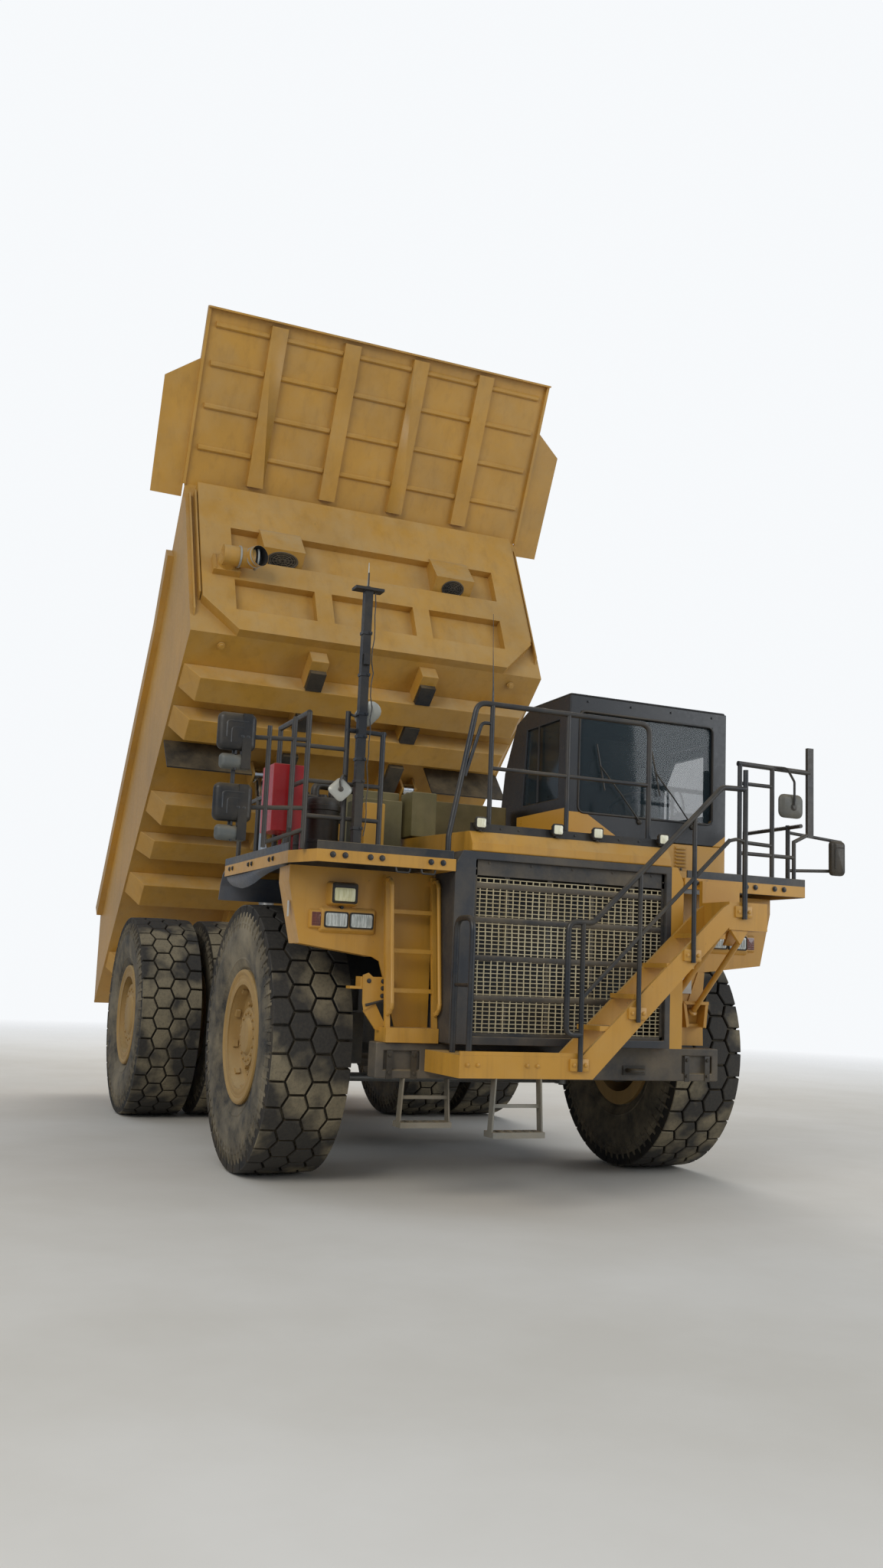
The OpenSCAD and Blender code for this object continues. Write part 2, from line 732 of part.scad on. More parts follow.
// Foot brackets of the stair posts, as y, lowest z
stair_feet = [[post1_y, 985], [320, 1360], [787, 1800], [1245, 2150]];
module stair_rails() {
    $fn = 24;
    color("#3a3d42") {
        tube_run([[stair_rail_x, post1_y + 5, 1240], [stair_rail_x, -272, 1240],
            [stair_rail_x, -272, 2040], [stair_rail_x, -75, 2040],
            [stair_rail_x, 1030, 3134], [stair_rail_x, 1251, 3140]], rail_tube, rail_bend);
        for (b = stair_bars)
            rod([stair_rail_x, b[0], b[1]], [stair_rail_x, b[2], b[3]], b[4]);
        // Foot brackets, at each post
        for (b = stair_feet)
            span([stair_x + fit, b[0] - 34, b[1]], [stair_rail_x - 4, b[0] + 34, b[1] + 90]);
        // Platform loop
        tube_run([[4500, -1000, platform_z + fit], [4500, -1000, 2030], [4780, -1000, 2030],
            [4780, -1000, platform_z + fit]], rail_tube, 90);
    }
}

module front_handrails() {
    $fn = 24;
    color("#3a3d42") {
        tube_run([[hood_rail_x, 698, hood_z + 3], [hood_rail_x, 698, hood_rail_z],
            [hood_rail_x, -817, hood_rail_z], [hood_rail_x, -1012, 2640],
            [hood_rail_x, -1012, deck_z + 3]], rail_tube, rail_bend);
        for (y = [-690, -35])
            rod([hood_rail_x, y, hood_z + 3], [hood_rail_x, y, hood_rail_z + 6], rail_tube - 3);
        rod([hood_rail_x, -695, 3180], [hood_rail_x, 704, 3180], rail_tube - 6);
    }
}

// Rails on the decks, as x, y, z, x, y, z, radius
deck_rail_x = deck_x - 34;
side_rail_y = deck_half - 34;
rail_foot = deck_z + fit;
left_bars = [
    [deck_rail_x, 1520, rail_foot, deck_rail_x, 1520, 3432, 19],
    [deck_rail_x, 1840, rail_foot, deck_rail_x, 1840, 3432, 19],
    [deck_rail_x, 2060, rail_foot, deck_rail_x, 2060, 2840, 17],
    [deck_rail_x, 1500, 3432, deck_rail_x, 2215, 3420, 21],
    [deck_rail_x, 1520, 2790, deck_rail_x, 1840, 2780, 16],
    [deck_rail_x, 1520, 2700, deck_rail_x, 2060, 2700, 16],
    [deck_rail_x, 1520, 3270, deck_rail_x, 1840, 3270, 16],
    [deck_rail_x, 2060, 2830, deck_rail_x, 2200, 2900, 16],
    [3600, side_rail_y, 2970, deck_rail_x, side_rail_y, 2970, 17],
    [3600, side_rail_y, rail_foot, 3600, side_rail_y, 2990, 19],
    [4200, side_rail_y, rail_foot, 4200, side_rail_y, 2990, 19],
    [4200, 2690, 2890, 4200, side_rail_y + 4, 2930, 14],
    [4200, 2646, 2640, 4200, side_rail_y + 4, 2610, 14],
    [4200, 2640, 2600, 4200, 2640, 2900, 14]
];
right_bars = [
    [4300, -2125, rail_foot, 4300, -2125, 3440, 19],
    [4300, -1560, rail_foot, 4300, -1560, 3357, 19],
    [4300, -1835, rail_foot, 4300, -1835, 3481, 19],
    [4300, -1540, 3340, 4300, -1850, 3345, 17],
    [4300, -1560, 2950, 4300, -2125, 2950, 16],
    [4300, -1560, 2700, 4300, -2125, 2700, 16],
    [4300, -1820, 3200, 4300, -2227, 3200, 16],
    [3570, -2125, 3440, 4300, -2125, 3440, 21],
    [3570, -2125, rail_foot, 3570, -2125, 3440, 19],
    [3940, -2125, rail_foot, 3940, -2125, 3440, 19],
    [2500, -2125, 2950, 3570, -2125, 2950, 17],
    [3940, -2125, 2950, 4300, -2125, 2950, 17],
    [2500, -2125, rail_foot, 2500, -2125, 2970, 19],
    [3050, -2125, rail_foot, 3050, -2125, 2970, 19],
    [4300, -2410, 2450, 4300, -2410, 3310, 17], [4300, -2227, 2600, 4300, -2227, 3396, 17],
    [4300, -2780, 3200, 4300, -2125, 3240, 16], [4300, -2780, 2700, 4300, -2125, 2750, 16],
    [4300, -2655, 2480, 4300, -2655, 3360, 15], [4300, -2410, 2480, 4300, -2125, 2600, 15]
];
module side_rails() {
    color("#3a3d42") {
        for (b = left_bars) rod([b[0], b[1], b[2]], [b[3], b[4], b[5]], b[6]);
        for (b = right_bars) rod([b[0], b[1], b[2]], [b[3], b[4], b[5]], b[6]);
        // Flat pole at the left corner
        span([deck_rail_x - 15, 2190, 2880], [deck_rail_x + 15, 2250, 3630]);
    }
}

// Mirror heads in front of the tubes, as side, back face x, y middle, z bottom, width, height
mirror_table = [
    [right, 4316, 2655, 2965, 270, 400],
    [right, 4316, 2655, 2470, 270, 400],
    [left, 4214, 2618, 2595, 150, 300],
    [left, deck_rail_x + 20, 2000, 3017, 250, 205],
    [right, 4319, 1883, 2835, 150, 130]
];
mirror_deep = 60;
module mirrors() {
    color(dark) {
        for (m = mirror_table)
            side_span(m[0], [m[1] + fit, m[2] - m[4] / 2, m[3]],
                [m[1] + mirror_deep, m[2] + m[4] / 2, m[3] + m[5]]);
        // Hangers of the two small mirrors
        rod([deck_rail_x + 36, 2000, 3200], [deck_rail_x + 36, 2000, 3440], 12);
        span([deck_rail_x + 21 + fit, 1985, 3400], [deck_rail_x + 45, 2015, 3450]);
    }
}

mast_y = -1749;
mast_x = 4352;
module mast() {
    color(dark) {
        span([mast_x - 30, mast_y - 30, deck_z + fit], [mast_x + 30, mast_y + 30, 4380]);
        span([mast_x - 50, mast_y - 110, 4380], [mast_x + 50, mast_y + 110, 4400]);
        rod([mast_x, mast_y, 4395], [mast_x, mast_y, 4520], 6);
    }
}

// Red cabinet on two legs at the deck's outer edge
module deck_cabinet() {
    color("firebrick") {
        span([3600, -deck_half - 84, 2618], [3900, -deck_half + 168, 3118]);
        for (x = [3620, 3860]) for (y = [-deck_half + 58, -deck_half + 148])
            span([x, y, deck_z + fit], [x + 20, y + 20, 2619]);
    }
}

function hood_top(x) =
    hood_z + (hood_rear_z - hood_z) * (deck_x - 58 - x) / (deck_x - 58 - hood_back);
// Boxes, as corner and size
deck_box_table = [
    [2700, -1300, deck_z + fit, 400, 350, 637], [3400, -1500, deck_z + fit, 300, 350, 487],
    [3780, -1544, deck_z + fit, 160, 161, 423], [2950, -876, hood_top(2950) + fit, 260, 219, 372],
    [2400, -650, deck_z, 300 - fit, 880, 661]
];
module deck_boxes() {
    color("#6d6a42") for (b = deck_box_table)
        translate([b[0], b[1], b[2]]) cube([b[3], b[4], b[5]]);
}

// Curved guard behind the right front wheel, X and Z
guard_path = [[deck_back - 4, deck_z - 16], [2150, 2400], [2080, 2310], [2040, 2190]];
module mudguard() {
    color("#5b6472") xz_plate(strip(guard_path, 8), -deck_half + 10, -1500);
}

// Cab
cab_floor = deck_z + fit;
cab_sill = 3020;
cab_back = 2360;
cab_back_top = 2640;
cab_outline = [
    [cab_back, cab_floor], [cab_x, cab_floor], [cab_x, cab_top], [2900, cab_top],
    [cab_back_top, 3900], [cab_back + 60, 3480], [cab_back, 3150]
];
cab_inner = [
    [cab_back + cab_wall, cab_floor + cab_wall], [cab_x - cab_wall, cab_floor + cab_wall],
    [cab_x - cab_wall, cab_top - cab_wall], [2900 + 10, cab_top - cab_wall],
    [cab_back_top + cab_wall, 3900 - 40], [cab_back + 60 + cab_wall, 3480],
    [cab_back + cab_wall, 3150]
];
// Window in the right side, X and Z
side_window = [[2800, 3140], [3460, 3140], [3460, 3810], [2860, 3810]];
// Door leaf, X and Z
door_x0 = 2560;
door_x1 = 3460;
door_z0 = cab_floor + 90;
door_z1 = 3760;
door_outline = [
    [door_x0, door_z0], [door_x1, door_z0], [door_x1, door_z1], [2800, door_z1], [door_x0, 3480]
];
door_window = [
    [door_x0 + 110, 3120], [door_x1 - 90, 3120], [door_x1 - 90, door_z1 - 90],
    [2850, door_z1 - 90], [door_x0 + 110, 3420]
];
wind_y0 = 437;
wind_y1 = 1744;
wind_z1 = 3860;

function grown(points, d, c) = [for (p = points)
    [p[0] + (p[0] > c[0] ? d : -d), p[1] + (p[1] > c[1] ? d : -d)]];
door_mid = [(door_x0 + door_x1) / 2, (door_z0 + door_z1) / 2];

// Yellow lower part of the cab, open at the top
cab_split = 2820;
module cab_base() {
    color(paint) difference() {
        span([cab_back, cab_right, cab_floor], [cab_x, cab_left, cab_split]);
        span([cab_back + cab_wall, cab_right + cab_wall, cab_floor + cab_wall],
            [cab_x - cab_wall, cab_left - cab_wall, cab_split + 1]);
        xz_plate(grown(door_outline, door_gap, door_mid), cab_left - cab_wall - 1, cab_left + 1);
    }
}

module cab_shell() {
    color(dark) difference() {
        xz_plate([for (p = cab_outline) [p[0], max(p[1], cab_split + fit)]], cab_right, cab_left);
        xz_plate([for (p = cab_inner) [p[0], p[1] < cab_split ? cab_split - 1 : p[1]]],
            cab_right + cab_wall, cab_left - cab_wall);
        // Windscreen
        span([cab_x - cab_wall - 1, wind_y0, cab_sill], [cab_x + 1, wind_y1, wind_z1]);
        // Rear window
        span([cab_back - 1, cab_right + 200, 2900], [cab_back + cab_wall + 60, cab_left - 200, 3140]);
        xz_plate(side_window, cab_right - 1, cab_right + cab_wall + 1);
        xz_plate(grown(door_outline, door_gap, door_mid), cab_left - cab_wall - 1, cab_left + 1);
    }
}

glass_seat = 0.3;
module cab_glass() {
    color([0.35, 0.42, 0.45, 0.4]) {
        span([cab_x - 30, wind_y0 + glass_seat, cab_sill + glass_seat],
            [cab_x - 30 + glass_t, wind_y1 - glass_seat, wind_z1 - glass_seat]);
        span([cab_back + 20, cab_right + 200 + glass_seat, 2900 + glass_seat],
            [cab_back + 20 + glass_t, cab_left - 200 - glass_seat, 3140 - glass_seat]);
        xz_plate(grown(side_window, -glass_seat, [3100, 3400]), cab_right + 20,
            cab_right + 20 + glass_t);
    }
}

door_hinge_x = door_x0 - door_gap - 12;
door_hinge_y = cab_left + 22;
module cab_door() {
    color(dark) {
        difference() {
            xz_plate(door_outline, cab_left - door_t, cab_left);
            xz_plate(door_window, cab_left - door_t - 1, cab_left + 1);
        }
        for (z = [2750, 3350])
            span([door_hinge_x + 10, cab_left, z], [door_x0 + 80, cab_left + 12, z + 60]);
        for (z = [2750, 3350])
            translate([door_hinge_x, door_hinge_y, z]) cylinder(r = 14, h = 60);
    }
}

module cab_door_glass() {
    color([0.35, 0.42, 0.45, 0.4])
        xz_plate(grown(door_window, -glass_seat, door_mid), cab_left - door_t + 12,
            cab_left - door_t + 12 + glass_t);
}

module seat() {
    color("#2a2b2f") {
        span([2750, 950, cab_floor + cab_wall + fit], [3100, 1350, 2800]);
        span([2700, 880, 2800], [3230, 1420, 2960]);
        span([2660, 900, 2960], [2800, 1400, 3480]);
        span([2680, 1020, 3480], [2780, 1280, 3640]);
    }
}

module steering_wheel() {
    color("#1f2023") {
        span([3420, 650, cab_floor + cab_wall + fit], [cab_x - cab_wall - fit, 1800, 2980]);
        rod([3430, 1150, 2900], [3300, 1150, 3160], 35);
        translate([3300, 1150, 3160]) rotate([0, -28, 0]) rotate_extrude()
            translate([190, 0]) circle(r = 18);
        translate([3300, 1150, 3160]) rotate([0, -28, 0]) translate([-190, -20, -10])
            cube([380, 40, 20]);
    }
}

// Fuel tank on the right, hydraulic tank on the left
tank_x0 = 80;
tank_x1 = 1100;
module tanks() {
    color("#3a3b36") for (side = [left, right])
        difference() {
            side_span(side, [tank_x0, rail_out + fit, 700], [tank_x1, 1700, 1500]);
            side_span(side, [tank_x0 - 1, 1500, 1300], [tank_x1 + 1, 1701, 1501]);
        }
}

// Suspension
strut_z0 = 1310;
strut_z1 = 2240;
module front_struts() {
    color("#76787a") for (side = [left, right])
        translate([front_axle_x, side * kingpin_y, 0]) difference() {
            translate([0, 0, strut_z0]) cylinder(r = strut_tube_r, h = strut_z1 - strut_z0);
            translate([0, 0, strut_z0 - 1]) cylinder(r = kingpin_r + fit, h = 620);
        }
}

axle_r = 260;
rear_spindle_r = 200;
rear_diff_r = 430;
wheel_hub_in = 860;
spindle_end = 1900;
rear_strut_y = 370;
module rear_axle() {
    color("#5d5f60") {
        union() {
            y_bar(rear_axle_x, tyre_r, -wheel_hub_in + run_gap, wheel_hub_in - run_gap, axle_r);
            translate([rear_axle_x, 0, tyre_r]) sphere(r = rear_diff_r);
            y_bar(rear_axle_x, tyre_r, -spindle_end, spindle_end, rear_spindle_r);
            // Wishbone forward to the frame
            for (side = [left, right])
                rod([rear_axle_x, side * 330, tyre_r], [-580, side * 200, tyre_r + 200], 85);
            span([-640, -270, tyre_r + 120], [-520 - fit, 270, tyre_r + 270]);
            // Strut brackets
            for (side = [left, right])
                side_span(side, [rear_axle_x - 480, rear_strut_y - 90, tyre_r - 120],
                    [rear_axle_x - 150, rear_strut_y + 90, tyre_r + 120]);
        }
    }
    color("#76787a") for (side = [left, right])
        rod([rear_axle_x - 380, side * rear_strut_y, tyre_r + 121],
            [rear_axle_x - 430, side * rear_strut_y, 1880], 100);
}

// Wheels
bead_half = rim_half - rim_flange_t;
tread_half = 285;
groove_r = 1028;
bulge_r = 775;
// Half outline of the carcass, radius and distance from the middle
tyre_side = [
    [rim_seat_r, bead_half], [rim_flange_r + 12, bead_half], [610, 292], [bulge_r, tyre_w / 2],
    [935, 315], [1000, 298], [groove_r, tread_half - 35]
];
tyre_profile = concat([for (p = tyre_side) [p[0], -p[1]]], backwards(tyre_side));
lug_count = 22;
// Rows of lugs, as inner edge, outer edge, half length, share of a pitch
lug_rows = [[18, 135, 78, 0], [150, tread_half, 92, 0.5]];

module tyre(y) {
    color(rubber) translate([0, y, tyre_r]) rotate([-90, 0, 0]) {
        rotate_extrude() polygon(tyre_profile);
        for (side = [left, right]) for (r = lug_rows) for (k = [1 : lug_count])
            rotate([0, 0, (k + r[3] + (side > 0 ? 0 : 0.5)) * 360 / lug_count])
                translate([groove_r - 20, -r[2], side > 0 ? r[0] : -r[1]])
                    cube([sqrt(tyre_r * tyre_r - r[2] * r[2]) - groove_r + 20, 2 * r[2],
                        r[1] - r[0]]);
    }
}

// Rim with its disc, for an outer face towards +Y; disc_y is the disc middle
module rim_profile(disc_y) {
    translate([rim_seat_r - rim_wall, -rim_half]) square([rim_wall, 2 * rim_half]);
    for (y = [-rim_half, rim_half - rim_flange_t])
        translate([rim_seat_r - rim_wall, y])
            square([rim_flange_r - rim_seat_r + rim_wall, rim_flange_t]);
    translate([0, disc_y - disc_t / 2]) square([rim_seat_r - 1, disc_t]);
}

front_disc_y = rim_half - front_disc_depth;
module rim_front(side) {
    color(rim_paint) translate([front_axle_x, side * front_wheel_y, tyre_r])
        rotate([-90 * side, 0, 0]) difference() {
            union() {
                rotate_extrude() rim_profile(front_disc_y);
                translate([0, 0, -180]) cylinder(r = front_hub_r, h = 400);
            }
            translate([0, 0, -181]) cylinder(r = spindle_r + fit, h = 300);
        }
}

module rims_rear(side) {
    color(rim_paint) translate([rear_axle_x, 0, tyre_r])
        rotate([-90 * side, 0, 0]) difference() {
            union() {
                for (k = [-1, 1])
                    translate([0, 0, rear_wheel_y + k * twin_pitch / 2])
                        rotate_extrude() rim_profile(k * 60);
                translate([0, 0, wheel_hub_in]) cylinder(r = rear_hub_r, h = 1300);
            }
            translate([0, 0, wheel_hub_in - 1])
                cylinder(r = rear_spindle_r + fit, h = spindle_end - wheel_hub_in + 6);
        }
}

module rim_front_left() { rim_front(left); }
module rim_front_right() { rim_front(right); }
module rims_rear_left() { rims_rear(left); }
module rims_rear_right() { rims_rear(right); }
module tyre_front_left() { translate([front_axle_x, 0, 0]) tyre(front_wheel_y); }
module tyre_front_right() { translate([front_axle_x, 0, 0]) tyre(-front_wheel_y); }
module tyres_rear_left() {
    translate([rear_axle_x, 0, 0])
        for (k = [-1, 1]) tyre(rear_wheel_y + k * twin_pitch / 2);
}
module tyres_rear_right() {
    translate([rear_axle_x, 0, 0])
        for (k = [-1, 1]) tyre(-rear_wheel_y + k * twin_pitch / 2);
}

// Steering knuckle with spindle and arm
arm_pin_r = 32;
arm_top = 1030;
arm_bottom = steer_cyl_z + 65;
module knuckle(side) {
    color("#66686a") {
        translate([front_axle_x, side * kingpin_y, 900]) cylinder(r = kingpin_r, h = 950);
        side_span(side, [front_axle_x - 170, kingpin_y - 150, 880],
            [front_axle_x + 170, kingpin_y + 150, 1290]);
        side_bar(side, front_axle_x, tyre_r, kingpin_y + 140,
            front_wheel_y - 180 - run_gap, 140);
        side_bar(side, front_axle_x, tyre_r, kingpin_y + 140, front_wheel_y + 110, spindle_r);
        // Brake ring inside the rim
        side_bar(side, front_axle_x, tyre_r, kingpin_y + 260, kingpin_y + 330, 330);
        // Arm and tie rod pin
        side_span(side, [front_axle_x - steer_arm - 70, kingpin_y - 65, arm_bottom],
            [front_axle_x - 160, kingpin_y + 65, arm_top]);
        translate([front_axle_x - steer_arm, side * kingpin_y, tie_rod_z - 55])
            cylinder(r = arm_pin_r, h = arm_bottom - tie_rod_z + 60);
    }
}
module knuckle_left() { knuckle(left); }
module knuckle_right() { knuckle(right); }

module tie_rod() {
    color(steel) difference() {
        union() {
            y_bar(front_axle_x - steer_arm, tie_rod_z, -kingpin_y + 50, kingpin_y - 50, tie_rod_r);
            for (side = [left, right])
                translate([front_axle_x - steer_arm, side * kingpin_y, tie_rod_z - 42])
                    cylinder(r = 72, h = 84);
        }
        for (side = [left, right])
            translate([front_axle_x - steer_arm, side * kingpin_y, tie_rod_z - 60])
                cylinder(r = arm_pin_r + fit, h = 120);
    }
}

// Steering rod: slides in its barrel, its eye pin stands under the arm
module steer_rod(side) {
    color(steel) {
        side_bar(side, steer_bracket_x, steer_cyl_z, steer_bracket_y + 330,
            kingpin_y - 20, steer_rod_r);
        translate([steer_bracket_x, side * kingpin_y, steer_cyl_z - 35])
            cylinder(r = 45, h = 70);
        translate([steer_bracket_x, side * kingpin_y, steer_cyl_z])
            cylinder(r = 25, h = arm_bottom - 4 - steer_cyl_z);
    }
}
module steer_rod_left() { steer_rod(left); }
module steer_rod_right() { steer_rod(right); }

// Load bed, in its drawn attitude
tail_z = floor_at(tail_x);
tail_top_x = -3480;
tail_top_z = 3580;
// Top edge of the side plates, X and Z, from front to rear
side_top = [[1670, 3790], [760, 3630], [tail_top_x, tail_top_z]];
skin_path = [[tail_x, tail_z], [floor_x, floor_z], [wall_top_x, wall_top_z], [canopy_x, canopy_z]];

// Left-hand normal of the stretch from a to b
function side_normal(a, b) = [-(b[1] - a[1]), b[0] - a[0]] / norm(b - a);
function mitre(p, i) = let (
    n1 = side_normal(p[max(i - 1, 0)], p[max(i, 1)]),
    n2 = side_normal(p[min(i, len(p) - 2)], p[min(i + 1, len(p) - 1)]),
    m = unit(n1 + n2)) m / (m * n1);
function shifted(p, d) = [for (i = [0 : len(p) - 1]) p[i] + d * mitre(p, i)];
function backwards(p) = [for (i = [len(p) - 1 : -1 : 0]) p[i]];
function strip(p, d) = concat(p, backwards(shifted(p, d)));

// Wing outline, along the canopy and outwards from its edge
wing_outline = [[-150, 0], [1390, 0], [1130, 370], [-150, 350]];
wing_angle = 10;
wing_t = 20;
module bed_shell() {
    color(paint) raised() {
        xz_plate(strip(skin_path, floor_t), -bed_half, bed_half);
        for (side = [left, right])
            side_plate(side, concat([[tail_x, tail_z], [floor_x, floor_z],
                [wall_top_x, wall_top_z]], side_top), bed_half - side_t, bed_half);
        // Canopy edges wider than the bed
        on_canopy() for (side = [left, right])
            side_span(side, [0, bed_half - 1, -40], [canopy_len, canopy_half, floor_t]);
        on_canopy() span([canopy_len - 20, -canopy_half, -80], [canopy_len, canopy_half, floor_t]);
        // Wings beside the canopy
        on_canopy() for (side = [left, right])
            translate([0, side * (canopy_half - 10), 0]) rotate([side * wing_angle, 0, 0])
                linear_extrude(wing_t) polygon([for (p = wing_outline) [p[0], side * p[1]]]);
    }
}

// Cross ribs under the floor, as rear end, front end, depth, in X
floor_ribs = [
    [850, 1170, 230], [300, 600, 230], [-980, -650, 230], [-1600, -1300, 150],
    [-2320, -1970, 220], [-3700, -3400, 200]
];
rib_half = 2060;
rib_low_half = 1900;
function on_floor_x(x) = -(floor_x - x) / cos(floor_slope);
// Underside of the bed rails at x, with the gap to the legs
function rail_under(x) = floor_at(x) - (bed_rail_h + 2 * fit) / cos(floor_slope);
bed_leg_outline = [
    [hinge_x - 185, hinge_z], [hinge_x + 185, hinge_z],
    [hinge_x + 238, rail_under(hinge_x + 238)], [hinge_x - 412, rail_under(hinge_x - 412)]
];
// Ends of the rail lengths between the ribs, on the floor
rail_ends = [
    for (i = [0 : len(floor_ribs) - 1])
        [on_floor_x(floor_ribs[i][1]) + fit,
            i == 0 ? -60 : on_floor_x(floor_ribs[i - 1][0]) - fit]
];
module bed_leg(side) {
    difference() {
        union() {
            side_plate(side, bed_leg_outline, bed_leg_in, bed_leg_out);
            side_bar(side, hinge_x, hinge_z, bed_leg_in, bed_leg_out, 185);
        }
        side_bar(side, hinge_x, hinge_z, bed_leg_in - 1, bed_leg_out + 1, hinge_pin_r + fit);
    }
}
module bed_frame() {
    color(paint) raised() {
        on_floor() translate([0, 0, -fit]) {
            for (r = floor_ribs)
                yz_plate([[-rib_half, 0], [-rib_low_half, -r[2]], [rib_low_half, -r[2]],
                    [rib_half, 0]], on_floor_x(r[0]), on_floor_x(r[1]));
            for (side = [left, right]) for (e = rail_ends)
                side_span(side, [e[0], bed_rail_y - bed_rail_w / 2, -bed_rail_h],
                    [e[1], bed_rail_y + bed_rail_w / 2, 0]);
        }
        bed_leg(left);
        bed_leg(right);
        // Ears for the hoist rods
        on_floor() for (side = [left, right]) for (y = [hoist_y - 100, hoist_y + 70])
            side_span(side, [on_floor_x(hoist_up_x) - 110, y, -hoist_up_drop - 70],
                [on_floor_x(hoist_up_x) + 110, y + 30, -fit]);
    }
}

// Beams on the front wall with their pockets, and canopy ribs
wall_pockets = [
    [-1610, 1610, 990, 1440], [-1600, -690, 274, 691], [-490, 490, 274, 691], [690, 1600, 274, 691]
];
function wall_at(z) = floor_x + (z - floor_z) * wall_dx / wall_dz;
canopy_ribs = [-1290, -420, 430, 1270];
canopy_rib_w = 190;
module bed_ducts() {
    color(paint) raised() {
        on_wall() difference() {
            yz_plate([[-1580, 0], [1580, 0], [1960, 396], [1960, wall_len - 60],
                [-1960, wall_len - 60], [-1960, 396]], fit, wall_beam);
            for (p = wall_pockets)
                span([20, p[0], p[2]], [wall_beam + 1, p[1], p[3]]);
        }
        // Exhaust elbow at the right of the wall
        on_wall() {
            span([wall_beam - 1, -1850, 720], [wall_beam + 90, -1550, 940]);
            difference() {
                union() {
                    rod([wall_beam, -1700, 830], [wall_beam + 240, -1700, 830], 105);
                    rod([wall_beam + 210, -1780, 830], [wall_beam + 210, -1440, 830], 109);
                }
                rod([wall_beam + 210, -1520, 830], [wall_beam + 210, -1430, 830], 88);
            }
        }
        on_canopy() for (y = canopy_ribs)
            span([100, y - canopy_rib_w / 2, -canopy_rib],
                [canopy_len - 60, y + canopy_rib_w / 2, -fit]);
        // Mesh boxes
        for (y = [-1040, 1040])
            xz_plate([[wall_at(2850) + 20, 2850], [2290, 2850], [2330, 3200], [2320, 3300],
                [wall_at(3300) + 20, 3300]], y - 240, y + 240);
        // Top rails
        for (side = [left, right])
            side_plate(side, [[1670, 3790], [760, 3630], [tail_top_x, tail_top_z],
                [tail_top_x, tail_top_z - top_rail_h], [760, 3630 - top_rail_h],
                [1670, 3790 - top_rail_h]], bed_half + fit, bed_half + top_rail_w);
    }
}

// Rubber pads under the bed rails, as rear end, front end, in X
pad_table = [[1180, 1420], [610, 840], [-380, 240]];
// Rubber flaps and the pads that the bed rests on
module bed_flaps() {
    color(rubber) raised() on_floor() for (side = [left, right]) {
        side_span(side, [on_floor_x(100) - 20, 1100, -450], [on_floor_x(100), 2060, -fit]);
        for (p = pad_table)
            side_span(side, [on_floor_x(p[0]), bed_rail_y - bed_rail_w / 2 + 10,
                -bed_rail_h - pad_t], [on_floor_x(p[1]),
                bed_rail_y + bed_rail_w / 2 - 10, -bed_rail_h - fit]);
    }
}

// Hoist cylinders
hoist_up = [hoist_up_x, floor_at(hoist_up_x) - hoist_up_drop];
hoist_up_now = turn_up(hoist_up, bed_rest_angle);
hoist_low = [hoist_low_x, hoist_low_z];
hoist_run = hoist_up_now - hoist_low;
hoist_len = norm(hoist_run);
hoist_tilt = atan2(hoist_run[0], hoist_run[1]);
hoist_out = (hoist_len - hoist_closed) / 2;
hoist_barrel_len = hoist_closed - 230;
module on_hoist(side) {
    translate([hoist_low_x, side * hoist_y, hoist_low_z]) rotate([0, hoist_tilt, 0]) children();
}
module hoist_barrel(side) {
    color(dark) on_hoist(side) difference() {
        union() {
            translate([0, 0, 80]) cylinder(r = hoist_r, h = hoist_barrel_len);
            translate([0, 50, 0]) rotate([90, 0, 0]) cylinder(r = 88, h = 100);
            translate([-60, -50, 0]) cube([120, 100, 100]);
        }
        translate([0, 0, 160]) cylinder(r = hoist_stage_r + fit, h = hoist_barrel_len);
        translate([0, 51, 0]) rotate([90, 0, 0]) cylinder(r = hoist_pin_r + fit, h = 102);
    }
}
module hoist_stage(side) {
    color(steel) on_hoist(side) translate([0, 0, hoist_out]) difference() {
        translate([0, 0, 165]) cylinder(r = hoist_stage_r, h = hoist_barrel_len - 50);
        translate([0, 0, 200]) cylinder(r = hoist_rod_r + fit, h = hoist_barrel_len);
    }
}
module hoist_rod(side) {
    color("silver") on_hoist(side) translate([0, 0, 2 * hoist_out]) union() {
        translate([0, 0, 205]) cylinder(r = hoist_rod_r, h = hoist_closed - 205 - 60);
        translate([0, 65, hoist_closed]) rotate([90, 0, 0]) cylinder(r = 85, h = 130);
    }
}
module hoist_barrel_left() { hoist_barrel(left); }
module hoist_barrel_right() { hoist_barrel(right); }
module hoist_stage_left() { hoist_stage(left); }
module hoist_stage_right() { hoist_stage(right); }
module hoist_rod_left() { hoist_rod(left); }
module hoist_rod_right() { hoist_rod(right); }

frame();
engine_block();
driveline();
front_bumper();
radiator_housing();
grille();
hood();
deck_right();
deck_left();
light_panels();
headlamps();
ladder_right();
front_stairs();
hanging_steps();
stair_rails();
front_handrails();
side_rails();
mirrors();
mast();
deck_cabinet();
deck_boxes();
mudguard();
cab_base();
cab_shell();
cab_glass();
cab_door();
cab_door_glass();
seat();
steering_wheel();
tanks();
front_struts();
rear_axle();
knuckle_left();
knuckle_right();
tie_rod();
steer_rod_left();
steer_rod_right();
tyre_front_left();
tyre_front_right();
rim_front_left();
rim_front_right();
tyres_rear_left();
tyres_rear_right();
rims_rear_left();
rims_rear_right();
bed_shell();
bed_frame();
bed_ducts();
bed_flaps();
hoist_barrel_left();
hoist_barrel_right();
hoist_stage_left();
hoist_stage_right();
hoist_rod_left();
hoist_rod_right();
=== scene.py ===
"""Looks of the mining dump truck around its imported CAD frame. Metres, row frame."""
import json
import random
from itertools import product
from math import atan2, copysign, cos, pi, radians, sin, tan, tau

import bmesh
import bpy
from mathutils import Matrix, Vector


